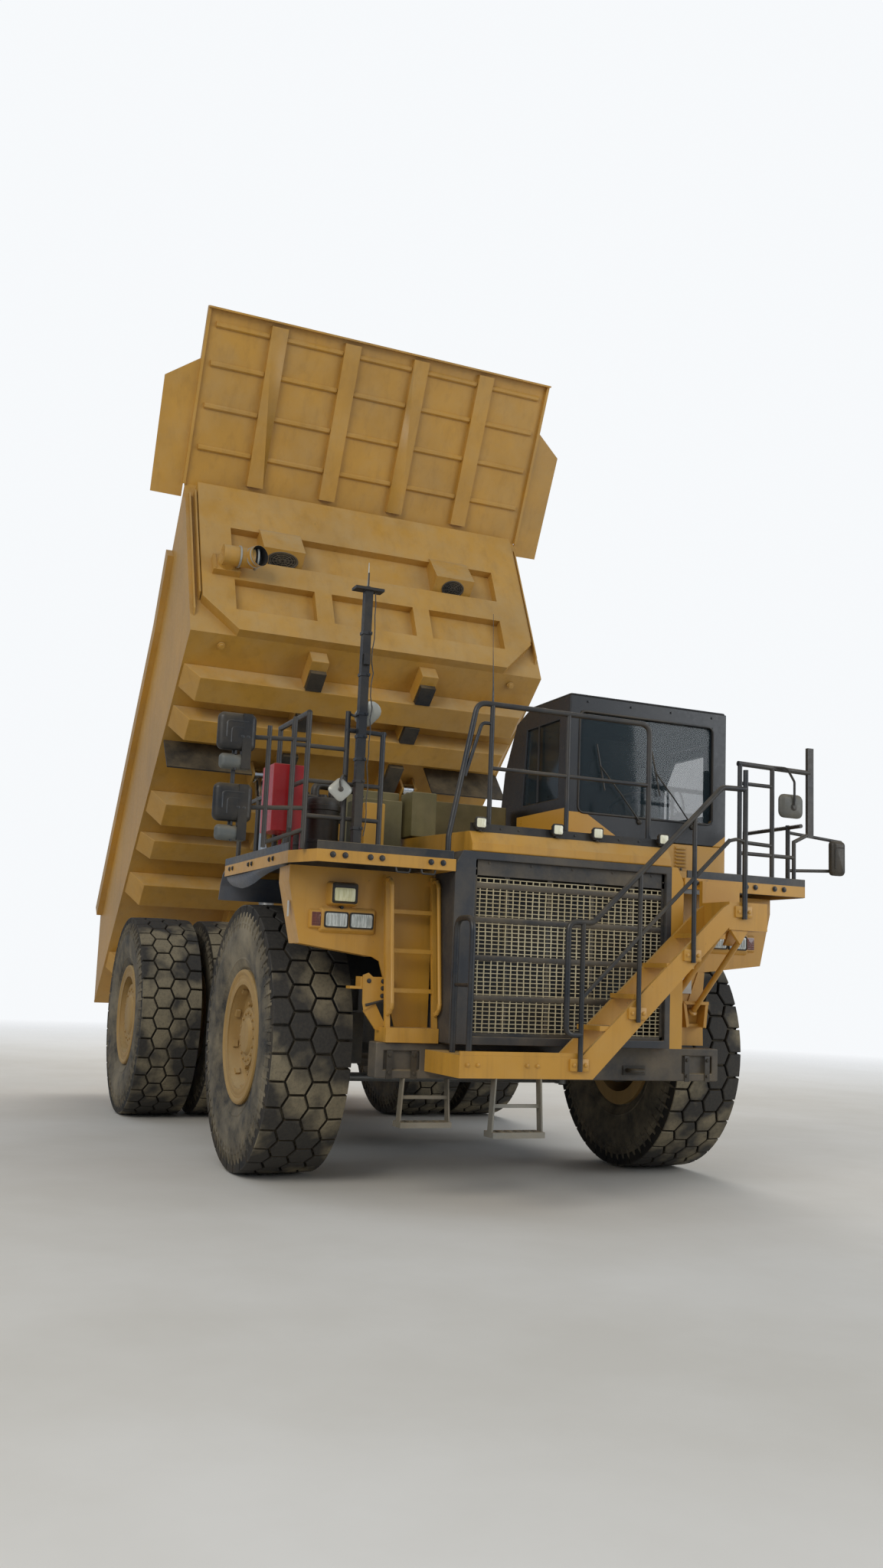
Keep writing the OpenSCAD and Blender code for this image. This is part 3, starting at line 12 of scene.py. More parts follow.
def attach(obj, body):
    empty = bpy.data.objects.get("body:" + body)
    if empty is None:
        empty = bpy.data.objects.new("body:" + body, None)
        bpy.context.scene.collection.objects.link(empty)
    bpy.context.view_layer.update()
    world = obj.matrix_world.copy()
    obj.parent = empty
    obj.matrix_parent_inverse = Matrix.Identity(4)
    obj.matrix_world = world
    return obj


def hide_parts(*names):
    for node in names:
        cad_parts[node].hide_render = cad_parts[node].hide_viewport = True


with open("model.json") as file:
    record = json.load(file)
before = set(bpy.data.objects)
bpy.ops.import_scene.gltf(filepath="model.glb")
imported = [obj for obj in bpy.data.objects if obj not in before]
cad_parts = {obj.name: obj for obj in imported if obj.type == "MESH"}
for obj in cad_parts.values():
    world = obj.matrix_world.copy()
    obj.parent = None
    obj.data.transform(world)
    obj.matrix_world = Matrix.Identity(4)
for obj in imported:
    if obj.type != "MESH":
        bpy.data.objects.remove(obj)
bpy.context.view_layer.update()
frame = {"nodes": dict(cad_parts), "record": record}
nodes = frame["nodes"]
scene = bpy.context.scene
left, right = 1, -1
X, Y, Z = (1, 0, 0), (0, 1, 0), (0, 0, 1)

# Camera, solved from the photograph
CAMERA_AT = (13.181, -4.83, 1.592)
YAW, PITCH, ROLL = (radians(a) for a in (22.88, 8.44, 2.37))
FOCAL_PX = 1718.6
IMAGE_H = 2048.0


def linked(name, data):
    """New object in the scene."""
    obj = bpy.data.objects.new(name, data)
    scene.collection.objects.link(obj)
    return obj


def add_camera():
    look = Vector((-cos(YAW) * cos(PITCH), sin(YAW) * cos(PITCH), sin(PITCH)))
    side = look.cross(Vector((0, 0, 1))).normalized()
    up = side.cross(look)
    side2 = cos(ROLL) * side + sin(ROLL) * up
    up2 = cos(ROLL) * up - sin(ROLL) * side
    data = bpy.data.cameras.new("camera")
    data.sensor_fit = "VERTICAL"
    data.sensor_height = 36.0
    data.lens = FOCAL_PX / IMAGE_H * 36.0
    data.clip_end = 200.0
    scene.camera = linked("camera", data)
    m = Matrix.Identity(4)
    for row in range(3):
        m[row][0], m[row][1], m[row][2] = side2[row], up2[row], -look[row]
        m[row][3] = CAMERA_AT[row]
    scene.camera.matrix_world = m


# Materials
def linear(hexa):
    values = [int(hexa[i:i + 2], 16) / 255 for i in (1, 3, 5)]
    return tuple(((c + 0.055) / 1.055) ** 2.4 if c > 0.04045 else c / 12.92
        for c in values) + (1.0,)


def put(tree, socket, value):
    if hasattr(value, "is_output"):
        tree.links.new(value, socket)
    else:
        socket.default_value = value


def make(tree, kind, *first, **named):
    """New shader node with its inputs linked or set; the first ones go by their order."""
    n = tree.nodes.new("ShaderNode" + kind)
    for key, value in list(enumerate(first)) + list(named.items()):
        put(tree, n.inputs[key if isinstance(key, int) else key.replace("_", " ")], value)
    return n


class Tree:
    """Short calls for building a material."""

    def __init__(self, name):
        self.mat = bpy.data.materials.new(name)
        self.mat.use_nodes = True
        self.nt = self.mat.node_tree
        self.bsdf = self.nt.nodes["Principled BSDF"]
        self.coord = make(self.nt, "TexCoord").outputs["Object"]

    def noise(self, scale, detail=4.0, rough=0.55, stretch=None):
        place = self.coord
        if stretch:
            place = make(self.nt, "Mapping", Vector=place, Scale=stretch).outputs["Vector"]
        return make(self.nt, "TexNoise", Vector=place, Scale=scale, Detail=detail,
            Roughness=rough).outputs["Fac"]

    def ramp(self, fac, lo, hi, low=0.0, high=1.0):
        return make(self.nt, "MapRange", Value=fac, From_Min=lo, From_Max=hi, To_Min=low,
            To_Max=high).outputs["Result"]

    def math(self, op, a, b, clamp=False):
        n = make(self.nt, "Math", a, b)
        n.operation, n.use_clamp = op, clamp
        return n.outputs[0]

    def times(self, a, b):
        return self.math("MULTIPLY", a, b, True)

    both = times

    def plus(self, a, b):
        return self.math("ADD", a, b, True)

    def above(self, value, level):
        return self.math("GREATER_THAN", value, level)

    def below(self, value, level):
        return self.math("LESS_THAN", value, level)

    def either(self, a, b):
        return self.math("MAXIMUM", a, b)

    def mix(self, fac, a, b):
        n = make(self.nt, "Mix")
        n.data_type = "RGBA"
        for key, value in (("Factor", fac), ("A", a), ("B", b)):
            put(self.nt, n.inputs[key], value)
        return n.outputs["Result"]

    def part(self, output, axis):
        """One part of the Position or of the Normal of a point, in the row frame."""
        g = make(self.nt, "NewGeometry").outputs[output]
        return make(self.nt, "SeparateXYZ", g).outputs[axis]

    def bump(self, height, strength, distance=0.002):
        n = make(self.nt, "Bump", Strength=strength, Distance=distance, Height=height)
        put(self.nt, self.bsdf.inputs["Normal"], n.outputs["Normal"])

    def finish(self, colour, rough, metallic=0.0, **sockets):
        sockets.update(Base_Color=colour, Roughness=rough, Metallic=metallic)
        for key, value in sockets.items():
            put(self.nt, self.bsdf.inputs[key.replace("_", " ")], value)
        return self.mat


DUST = linear("#b79f74")


def dusted(t, col, slope, patch, film, amount):
    """Dust on what faces up and as a thin film: its share, and the colour under it."""
    lies = t.times(t.ramp(t.part("Normal", 2), slope, 0.9), t.ramp(t.noise(patch, 6.0, 0.6), 0.3,
        0.65))
    share = t.plus(t.times(lies, amount), t.ramp(t.noise(film[0], 7.0, 0.65), *film[1:]))
    return share, t.mix(share, col, DUST)


def paint(name, main, shade, dust=0.35, rough=0.38, streak=0.35, chip=None, coat=0.15, zone=None):
    """Painted steel: soft cloudiness, rain streaks, dust on what faces up, chipped specks."""
    t = Tree(name)
    cloud = t.noise(0.9, 5.0, 0.6)
    col = t.mix(t.ramp(cloud, 0.35, 0.7), linear(main), linear(shade))
    runs = t.noise(1.0, 6.0, 0.65, stretch=(9.0, 9.0, 0.7))
    col = t.mix(t.ramp(runs, 0.5, 0.78, 0.0, streak), col, linear(chip or "#6b4a1c"))
    fine = t.noise(26.0, 6.0, 0.7)
    specks = t.times(t.ramp(fine, 0.66, 0.72), t.ramp(cloud, 0.45, 0.6, 0.1, 0.8))
    col = t.mix(specks, col, linear(chip or "#4a3721"))
    if zone:
        col = zone(t, col)
    share, col = dusted(t, col, 0.2, 3.0, (2.2, 0.42, 0.75, 0.0, dust * 0.55), dust * 1.8)
    r = t.plus(t.ramp(fine, 0.3, 0.7, rough - 0.07, rough + 0.1), t.times(share, 0.45))
    t.bump(t.noise(60.0, 3.0), 0.1, 0.001)
    return t.finish(col, r, Coat_Weight=coat, Coat_Roughness=0.25)


BLACK, YELLOW = linear("#131417"), linear("#c99434")
DECK_TOP, CAB_FOOT = 2.4628, 2.8203


def deck_zone(t, col):
    """Dark toe strips and walkway on top; faces that look down are painted black as shade under
    the deck.
    """
    # Faces looking down turn black: painted shade under the deck
    dark = t.either(t.above(t.part("Position", 2), DECK_TOP), t.below(t.part("Normal", 2), -0.6))
    return t.mix(dark, col, linear("#202225"))


def panel_zone(t, col):
    """Black behind the light panels."""
    return t.mix(t.below(t.part("Normal", 0), -0.5), col, BLACK)


def cab_zone(t, col):
    """Black mask; yellow below it, at its right lower corner and on the right side."""
    x, y, z = (t.part("Position", axis) for axis in range(3))
    corner = t.both(t.below(z, t.ramp(y, 0.502, 0.83, 3.012, 2.82)), t.below(y, 0.83))
    far = t.both(t.below(z, t.ramp(y, 1.76, 1.893, 2.822, 2.925)), t.above(y, 1.76))
    front = t.both(t.above(t.part("Normal", 0), 0.5), t.either(corner, far))
    side = t.both(t.below(t.part("Normal", 1), -0.5), t.both(t.below(z, 3.045), t.above(x, 2.7)))
    return t.mix(t.either(t.below(z, CAB_FOOT), t.either(front, side)), col, YELLOW)


def box_zone(t, col):
    """The foremost deck box is yellow."""
    return t.mix(t.above(t.part("Position", 0), 3.75), col, YELLOW)


def housing_zone(t, col):
    """The left edge of the radiator housing is yellow."""
    return t.mix(t.above(t.part("Position", 1), 0.868), col, YELLOW)


def dull(name, main, shade, rough=0.6, dust=0.3, metallic=0.0, grain=40.0, bump=0.2, depth=0.002):
    """Plain hard-used surface with dust."""
    t = Tree(name)
    cloud = t.noise(2.5, 6.0, 0.6)
    col = t.mix(t.ramp(cloud, 0.35, 0.7), linear(main), linear(shade))
    share, col = dusted(t, col, 0.1, 4.0, (1.6, 0.38, 0.72, 0.0, dust), dust * 1.5)
    r = t.plus(t.ramp(t.noise(grain, 4.0), 0.3, 0.7, rough - 0.08, rough + 0.08),
        t.times(share, 0.3))
    t.bump(t.noise(grain, 5.0, 0.6), bump, depth)
    return t.finish(col, r, metallic)


def glass_material():
    """Thin tinted pane: light goes straight through what its alpha leaves open."""
    t = Tree("window_glass")
    smear = t.ramp(t.noise(3.0, 6.0, 0.7), 0.45, 0.85, 0.03, 0.12)
    col = t.mix(t.ramp(t.noise(1.2, 4.0), 0.3, 0.8), linear("#2c3a40"), linear("#3a484c"))
    return t.finish(col, smear, Alpha=0.32, IOR=1.5, Coat_Weight=0.6, Coat_Roughness=0.04)


def lens(name, main, shade):
    """Moulded lamp lens with fine flutes."""
    t = Tree(name)
    flute = t.noise(34.0, 2.0, 0.4, stretch=(1.0, 3.0, 0.4))
    col = t.mix(t.ramp(flute, 0.35, 0.65), linear(main), linear(shade))
    col = t.mix(t.ramp(t.noise(9.0, 6.0, 0.7), 0.55, 0.8, 0.0, 0.35), col, DUST)
    t.bump(flute, 0.35, 0.002)
    return t.finish(col, t.ramp(t.noise(9.0, 5.0), 0.3, 0.7, 0.1, 0.28), Coat_Weight=0.8,
        Coat_Roughness=0.08)


def tyre_side_material():
    """Sidewall: dried mud drawn out in rings and streaks over dark rubber."""
    t = Tree("tyre_side")
    streak = t.noise(5.0, 7.0, 0.7, stretch=(1.0, 0.35, 1.0))
    col = t.mix(t.ramp(streak, 0.35, 0.68), linear("#2e2c28"), linear("#7a6f5a"))
    pale = t.noise(1.3, 6.0, 0.6)
    col = t.mix(t.ramp(pale, 0.5, 0.72, 0.0, 0.6), col, linear("#a3967c"))
    t.bump(t.noise(38.0, 6.0, 0.65), 0.45, 0.004)
    return t.finish(col, t.ramp(streak, 0.3, 0.7, 0.7, 0.92))


def tyre_tread_material():
    """Lug faces: worn dark rubber, some caked with pale mud."""
    t = Tree("tyre_tread")
    patch = t.noise(2.3, 3.0, 0.5)
    grain = t.noise(42.0, 6.0, 0.7)
    col = t.mix(t.ramp(grain, 0.3, 0.7), linear("#2a2826"), linear("#45413a"))
    mud = t.times(t.ramp(patch, 0.47, 0.6), t.ramp(grain, 0.25, 0.55, 0.45, 1.0))
    col = t.mix(mud, col, linear("#857a62"))
    t.bump(grain, 0.5, 0.004)
    return t.finish(col, t.ramp(grain, 0.3, 0.7, 0.72, 0.92))


# Painted finishes: colour, shade, dust, roughness, streaks, chip colour, coat
PAINTS = {
    "body_paint": ("#c99434", "#b9862f"),
    "bed_paint": ("#c49238", "#ad8238", 0.5, 0.45, 0.25),
    "deck_paint": ("#c99434", "#b9862f"),
    "panel_paint": ("#c99434", "#b9862f"),
    "cab_mask": ("#0c0d10", "#101215", 0.04, 0.32, 0.05, "#17181a", 0.2),
    "cab_paint": ("#0c0d10", "#101215", 0.04, 0.32, 0.05, "#17181a", 0.2),
    "housing_paint": ("#34363a", "#2a2c2f", 0.3, 0.5, 0.25, "#45413a", 0.05),
    "rim_paint": ("#a9854a", "#97773f", 0.55, 0.6, 0.35, "#5d4a2c", 0.0),
    "cabinet_red": ("#b4161f", "#9c1119", 0.15, 0.35, 0.2, "#3f0a0c", 0.2),
    "box_olive": ("#6b6238", "#564e2e", 0.35, 0.6, 0.3, "#3c3620", 0.0)}
ZONES = {"deck_paint": deck_zone, "panel_paint": panel_zone, "cab_mask": cab_zone,
         "housing_paint": housing_zone, "box_olive": box_zone}
# Other finishes: colour, shade, roughness, dust, metal, grain, bump, depth
DULLS = {
    # Black for real soot and for painted shade in dark openings
    "soot_and_shade_black": ("#101112", "#0b0b0c", 0.8, 0.06),
    "label": ("#c9c7bf", "#b3b0a6", 0.5, 0.25),
    "mast_black": ("#1b1d20", "#141518", 0.45, 0.12),
    "chassis_paint": ("#34363a", "#26282b", 0.5, 0.28),
    "rail_paint": ("#26292d", "#1d1f23", 0.42, 0.12),
    "grille_mesh": ("#c9bf9f", "#a89c7a", 0.7, 0.4, 0.0, 70.0),
    "engine_grey": ("#4c4e50", "#37393b", 0.65, 0.35),
    "cylinder_steel": ("#8b8d8e", "#6e7072", 0.4, 0.2, 0.8),
    "cylinder_chrome": ("#c9ccce", "#b5b8ba", 0.14, 0.05, 1.0, 40.0, 0.03),
    "tyre_rubber": ("#1b1a19", "#121111", 0.88, 0.12, 0.0, 90.0, 0.5, 0.004),
    "grille_frame": ("#2c2f33", "#232528", 0.5, 0.3),
    "black_plastic": ("#17181a", "#101113", 0.45, 0.14),
    "mirror_back": ("#5b5f5c", "#484b4a", 0.45, 0.2),
    "mirror_face": ("#c4ccd0", "#b4bdc2", 0.05, 0.04, 1.0, 40.0, 0.02),
    "pale_metal": ("#b9bbb4", "#9a9c96", 0.42, 0.2, 0.4),
    "rail_steel": ("#2e3237", "#24272b", 0.36, 0.14, 0.3),
    "flap_rubber": ("#1c1d1f", "#131415", 0.55, 0.18),
    "mirror_housing": ("#2b2d30", "#202225", 0.5, 0.2),
    "seat_cloth": ("#26272b", "#1c1d20", 0.9, 0.1, 0.0, 300.0, 0.5),
    "cab_plastic": ("#1b1c1f", "#141517", 0.55, 0.12),
    "aluminium": ("#8c8a82", "#6d6b64", 0.45, 0.35, 0.6, 60.0),
    # Grey-blue guard: painted sky sheen on black plastic
    "guard_grey": ("#5d6674", "#4b5360", 0.55, 0.25)}
LENSES = {
    "lamp_glass": ("#cfd2cb", "#9fa39c"), "lamp_yellow": ("#f4efc4", "#ddd7a0"),
    "lamp_marker": ("#7a3a20", "#5c2816"), "lamp_pale": ("#f3efd2", "#e6e0bd")}
MAT = {"window_glass": glass_material(), "tyre_side": tyre_side_material(),
    "tyre_tread": tyre_tread_material()}
MAT.update((k, paint(k, *row, zone=ZONES.get(k))) for k, row in PAINTS.items())
MAT.update((k, dull(k, *row)) for k, row in DULLS.items())
MAT.update((k, lens(k, *row)) for k, row in LENSES.items())

# Finishes of the CAD nodes that differ from their slots
OWN_MATERIAL = {
    # The mudguard gets the same grey-blue, painted sky sheen on black plastic
    "hanging_steps": "aluminium", "mudguard": "guard_grey", "deck_right": "deck_paint",
    "deck_left": "deck_paint", "light_panels": "panel_paint", "cab_shell": "cab_mask",
    "cab_base": "cab_mask", "bed_shell": "bed_paint", "bed_frame": "bed_paint",
    "bed_ducts": "bed_paint", "mast": "mast_black", "radiator_housing": "housing_paint"}
for row in frame["record"]["subparts"]:
    mesh = nodes[row["node"]].data
    mesh.materials.clear()
    mesh.materials.append(MAT[OWN_MATERIAL.get(row["node"], row["material_slot"])])

# Widths of the softened edges of CAD nodes
EDGES = {
    0.003: ("mast",),
    0.004: ("ladder_right",),
    0.005: ("light_panels", "front_stairs"),
    0.006: ("bed_shell", "deck_right", "deck_left", "frame", "cab_door", "steering_wheel"),
    0.008: ("bed_frame", "deck_boxes", "deck_cabinet", "knuckle_left", "knuckle_right"),
    0.01: ("bed_ducts", "front_bumper", "radiator_housing"),
    0.012: ("hood", "cab_base"),
    0.016: ("cab_shell",),
    0.02: ("engine_block",),
    0.03: ("tanks",)}
for width, names in EDGES.items():
    for node_name in names:
        weld = nodes[node_name].modifiers.new("weld", "WELD")
        weld.merge_threshold = 0.0002
        bevel = nodes[node_name].modifiers.new("edges", "BEVEL")
        bevel.width = width
        bevel.segments = 2
        bevel.limit_method = "ANGLE"
        bevel.angle_limit = radians(35)
        bevel.use_clamp_overlap = True
        bevel.harden_normals = True


# Stage: floor, world and lamps
FLOOR_HALF, FADE = 60.0, (9.0, 26.0)


def add_stage():
    mesh = bpy.data.meshes.new("floor")
    mesh.from_pydata([(sx * FLOOR_HALF, sy * FLOOR_HALF, 0) for sx, sy in ((-1, -1), (1, -1),
        (1, 1), (-1, 1))], [], [(0, 1, 2, 3)])
    floor = linked("floor", mesh)
    t = Tree("floor")
    col = t.mix(t.ramp(t.noise(0.35, 6.0, 0.6), 0.35, 0.65), linear("#e4dfd5"), linear("#d9d3c7"))
    floor.data.materials.append(t.finish(col, 0.85))
    # The floor fades into the background far from the truck
    away = make(t.nt, "VectorMath", t.coord)
    away.operation = "LENGTH"
    fade = make(t.nt, "MixShader", t.ramp(away.outputs["Value"], *FADE), t.bsdf.outputs[0],
        make(t.nt, "BsdfTransparent").outputs[0])
    put(t.nt, t.nt.nodes["Material Output"].inputs["Surface"], fade.outputs[0])
    # World: soft blue light, seen as near white
    scene.world = bpy.data.worlds.new("world")
    scene.world.use_nodes = True
    nt = scene.world.node_tree
    nt.nodes.clear()
    lit = make(nt, "Background", Color=(0.8, 0.88, 1.0, 1.0), Strength=0.45)
    seen = make(nt, "Background", Color=(0.93, 0.95, 0.97, 1.0), Strength=1.0)
    path = make(nt, "LightPath").outputs
    either = make(nt, "Math", path["Is Camera Ray"], path["Is Transmission Ray"])
    either.operation = "MAXIMUM"
    sky = make(nt, "MixShader", either.outputs[0], lit.outputs[0], seen.outputs[0])
    make(nt, "OutputWorld", sky.outputs[0])


def area_lamp(name, at, aim, size, power, colour):
    data = bpy.data.lights.new(name, "AREA")
    data.shape = "RECTANGLE"
    data.size, data.size_y = size
    data.energy = power
    data.color = colour
    lamp = linked(name, data)
    lamp.location = at
    lamp.rotation_euler = (Vector(aim) - Vector(at)).to_track_quat("-Z", "Y").to_euler()


add_camera()
add_stage()
area_lamp("key", (16, -16, 14), (0, 0, 3), (12, 10), 1900, (1.0, 0.97, 0.92))
area_lamp("fill", (14, 14, 8), (0, 0, 2.5), (12, 10), 950, (0.92, 0.96, 1.0))
area_lamp("back", (-16, 6, 14), (0, 0, 3), (14, 8), 1500, (1.0, 0.96, 0.9))
scene.view_settings.view_transform = "Standard"


class Build:
    """Gathers the faces of one piece; each face keeps the number of its material."""

    def __init__(self):
        self.verts, self.faces, self.mats = [], [], []

    def add(self, verts, faces, mat=0):
        base = len(self.verts)
        self.verts += [tuple(v) for v in verts]
        self.faces += [tuple(base + i for i in f) for f in faces]
        self.mats += [mat] * len(faces)

    def box(self, lo, hi, mat=0):
        self.prism([(lo[0], lo[1]), (hi[0], lo[1]), (hi[0], hi[1]), (lo[0], hi[1])], lo[2], hi[2],
            "z", mat)

    def prism(self, outline, lo, hi, axis, mat=0):
        """Outline extruded along x (of y, z), y (of x, z) or z (of x, y)."""
        place = {"x": lambda a, b, c: (c, a, b), "y": lambda a, b, c: (a, c, b),
            "z": lambda a, b, c: (a, b, c)}[axis]
        n = len(outline)
        v = [place(a, b, c) for c in (lo, hi) for a, b in outline]
        self.add(v, [tuple(range(n))[::-1], tuple(range(n, 2 * n))]
            + [(i, (i + 1) % n, n + (i + 1) % n, n + i) for i in range(n)], mat)

    def rings(self, rings, mat=0, wrap=True, caps=True):
        """Skin between rings of equally many points."""
        n = len(rings[0])
        span = n if wrap else n - 1
        faces = [(k * n + i, k * n + (i + 1) % n, (k + 1) * n + (i + 1) % n, (k + 1) * n + i)
            for k in range(len(rings) - 1) for i in range(span)]
        if caps:
            last = (len(rings) - 1) * n
            faces += [tuple(range(n))[::-1], tuple(range(last, last + n))]
        self.add([p for ring in rings for p in ring], faces, mat)

    def tube(self, points, r, sides=10, mat=0):
        """Round bar swept along the points."""
        pts = [Vector(p) for p in points]
        dirs = [(pts[min(i + 1, len(pts) - 1)] - pts[max(i - 1, 0)]).normalized()
            for i in range(len(pts))]
        u = dirs[0].orthogonal().normalized()
        rings = []
        for i, (p, d) in enumerate(zip(pts, dirs)):
            u = (u - d * u.dot(d)).normalized()
            w = d.cross(u)
            rad = r[i] if isinstance(r, (list, tuple)) else r
            rings.append([p + rad * (cos(a) * u + sin(a) * w)
                for a in (tau * k / sides for k in range(sides))])
        self.rings(rings, mat)

    def pipe(self, points, r, bend=0.05, sides=10, mat=0):
        """Tube with rounded bends at its corners."""
        self.tube(rounded(points, bend), r, sides, mat)

    def lathe(self, profile, at, axis=Y, sides=48, mat=0, caps=False):
        """Profile of (radius, distance along the axis) turned about the axis."""
        w = Vector(axis).normalized()
        u = w.orthogonal().normalized()
        v = w.cross(u)
        at = Vector(at)
        rings = [[at + w * h + r * (cos(a) * u + sin(a) * v)
            for a in (tau * k / sides for k in range(sides))] for r, h in profile]
        self.rings(rings, mat, caps=caps)

    def bolt(self, at, axis, r=0.012, h=0.01, mat=0):
        """Hexagonal bolt head on a washer."""
        self.lathe([(r * 1.35, 0), (r * 1.35, h * 0.3), (r, h * 0.3)], at, axis, 12, mat, True)
        self.lathe([(r, h * 0.2), (r, h * 0.85), (r * 0.8, h)], at, axis, 6, mat, True)


def rounded(points, bend, steps=5):
    """Points with each inner corner replaced by an arc."""
    pts = [Vector(p) for p in points]
    out = [pts[0]]
    for a, b, c in zip(pts, pts[1:], pts[2:]):
        u, v = (a - b).normalized(), (c - b).normalized()
        leg = min(bend * tan((pi - u.angle(v)) / 2), 0.48 * (a - b).length, 0.48 * (c - b).length)
        p, q = b + u * leg, b + v * leg
        out += [(1 - t) ** 2 * p + 2 * t * (1 - t) * b + t * t * q
            for t in (k / steps for k in range(steps + 1))]
    return out + [pts[-1]]


def piece(name, build, mats, replaces=(), body="chassis", angle=40):
    """Mesh object of a build that rides on a body and may stand for CAD nodes."""
    mesh = bpy.data.meshes.new(name)
    mesh.from_pydata(build.verts, [], build.faces)
    for m in mats:
        mesh.materials.append(MAT[m])
    mesh.polygons.foreach_set("material_index", build.mats)
    bm = bmesh.new()
    bm.from_mesh(mesh)
    bmesh.ops.recalc_face_normals(bm, faces=bm.faces)
    bm.to_mesh(mesh)
    bm.free()
    mesh.polygons.foreach_set("use_smooth", [True] * len(mesh.polygons))
    mesh.set_sharp_from_angle(angle=radians(angle))
    obj = linked(name, mesh)
    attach(obj, body)
    if replaces:
        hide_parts(*replaces)
    return obj


# Tyres
FRONT_X, REAR_X, AXLE_Z = 2.6, -1.7, 1.071
FRONT_Y, REAR_Y, TWIN = 1.7575, 1.54, 0.38
LUGS, TIP_R, GROOVE_R = 32, 1.071, 1.029
COLUMN, SHOULDER_Y = 0.17, 0.311
LUG_GAP, LUG_EDGE, LUG_POINT = 0.0095, 0.057, 0.098
# Where the outer lugs end on the shoulder: radius, distance from the middle
LUG_FOOT_R, LUG_FOOT_Y = 0.962, 0.3085
# Half outline of the carcass: radius, distance from the middle
CARCASS = [(0.446, 0.25), (0.542, 0.25), (0.552, 0.262), (0.572, 0.278), (0.612, 0.292),
    (0.622, 0.302), (0.634, 0.298), (0.69, 0.312), (0.74, 0.32), (0.79, 0.3245), (0.85, 0.3235),
    (0.9, 0.319), (0.908, 0.3245), (0.922, 0.3225), (0.93, 0.315), (0.97, 0.307), (1.004, 0.296),
    (1.022, 0.276), (GROOVE_R, 0.25)]


def round_axle(x, y, r, a, s=0.0):
    """Point at radius r and angle a about an axle, moved s along the rim."""
    return (x + r * cos(a) - s * sin(a), y, AXLE_Z + r * sin(a) + s * cos(a))


def lug_outline(y_mid):
    """Six-sided lug in (y, s), cut off at the shoulder."""
    half = pi * TIP_R / LUGS - LUG_GAP
    a, b = LUG_EDGE, LUG_POINT
    pts = [(-a, -half), (a, -half), (b, 0.0), (a, half), (-a, half), (-b, 0.0)]
    pts = [(y_mid + y, s) for y, s in pts]
    out = []
    for p, q in zip(pts, pts[1:] + pts[:1]):
        if abs(p[0]) <= SHOULDER_Y:
            out.append(p)
        if (abs(p[0]) - SHOULDER_Y) * (abs(q[0]) - SHOULDER_Y) < 0:
            t = (SHOULDER_Y - abs(p[0])) / (abs(q[0]) - abs(p[0]))
            out.append((p[0] + t * (q[0] - p[0]), p[1] + t * (q[1] - p[1])))
    full = []
    for p, q in zip(out, out[1:] + out[:1]):
        full.append(p)
        if p[1] * q[1] < -1e-9:
            t = p[1] / (p[1] - q[1])
            full.append((p[0] + t * (q[0] - p[0]), 0.0))
    return full


def tyre(b, x, y, turn):
    ring = [(r, -d) for r, d in CARCASS] + [(r, d) for r, d in reversed(CARCASS)]
    b.lathe(ring, (x, y, AXLE_Z), sides=96, mat=1)
    for column in range(4):
        y_mid = (column - 1.5) * COLUMN
        outline = lug_outline(y_mid)
        cy = sum(p[0] for p in outline) / len(outline)
        for k in range(LUGS):
            mid = tau * (k + 0.5 * (column % 2) + turn) / LUGS

            def ring_at(scale, drop):
                pts = []
                for py, ps in outline:
                    ly, ls = cy + scale * (py - cy), scale * ps
                    r = TIP_R - 0.01 * (ly / 0.3) ** 2 - drop
                    if drop > 0.02:
                        r = GROOVE_R - 0.006
                        if abs(py) > SHOULDER_Y - 0.001:
                            r, ly = LUG_FOOT_R, copysign(LUG_FOOT_Y, py)
                    a = mid + ls / TIP_R
                    pts.append(round_axle(x, y + ly, r, a))
                return pts
            top, edge, foot = ring_at(0.925, 0.0), ring_at(1.0, 0.007), ring_at(1.045, 0.05)
            b.rings([foot, edge], caps=False)
            b.rings([edge, top], 2, caps=False)
            n = len(top)
            b.add(top, [tuple(i for i in range(n) if outline[i][1] >= -1e-9),
                tuple(i for i in range(n) if outline[i][1] <= 1e-9)], 2)


TYRE_SETS = {"tyre_front_left": (FRONT_X, (FRONT_Y,), "wheel_front_left"),
    "tyre_front_right": (FRONT_X, (-FRONT_Y,), "wheel_front_right"),
    "tyres_rear_left": (REAR_X, (REAR_Y - TWIN, REAR_Y + TWIN), "wheel_rear_left"),
    "tyres_rear_right": (REAR_X, (-REAR_Y - TWIN, -REAR_Y + TWIN), "wheel_rear_right")}
for number, (node_name, (x, ys, body)) in enumerate(TYRE_SETS.items()):
    b = Build()
    for j, y in enumerate(ys):
        tyre(b, x, y, 0.17 * number + 0.31 * j)
    piece("tread_" + node_name, b, ["tyre_rubber", "tyre_side", "tyre_tread"],
        (node_name,), body, 30)


# Rims: outer flange with its rings, disc, nuts and hub face, laid on the CAD rim
FLANGE = [(0.5315, 0.25), (0.537, 0.264), (0.538, 0.278), (0.531, 0.29), (0.517, 0.294),
    (0.502, 0.29), (0.49, 0.2815), (0.474, 0.281), (0.466, 0.276), (0.458, 0.2812),
    (0.434, 0.2835), (0.421, 0.279), (0.4145, 0.267)]
DISC_R = 0.375


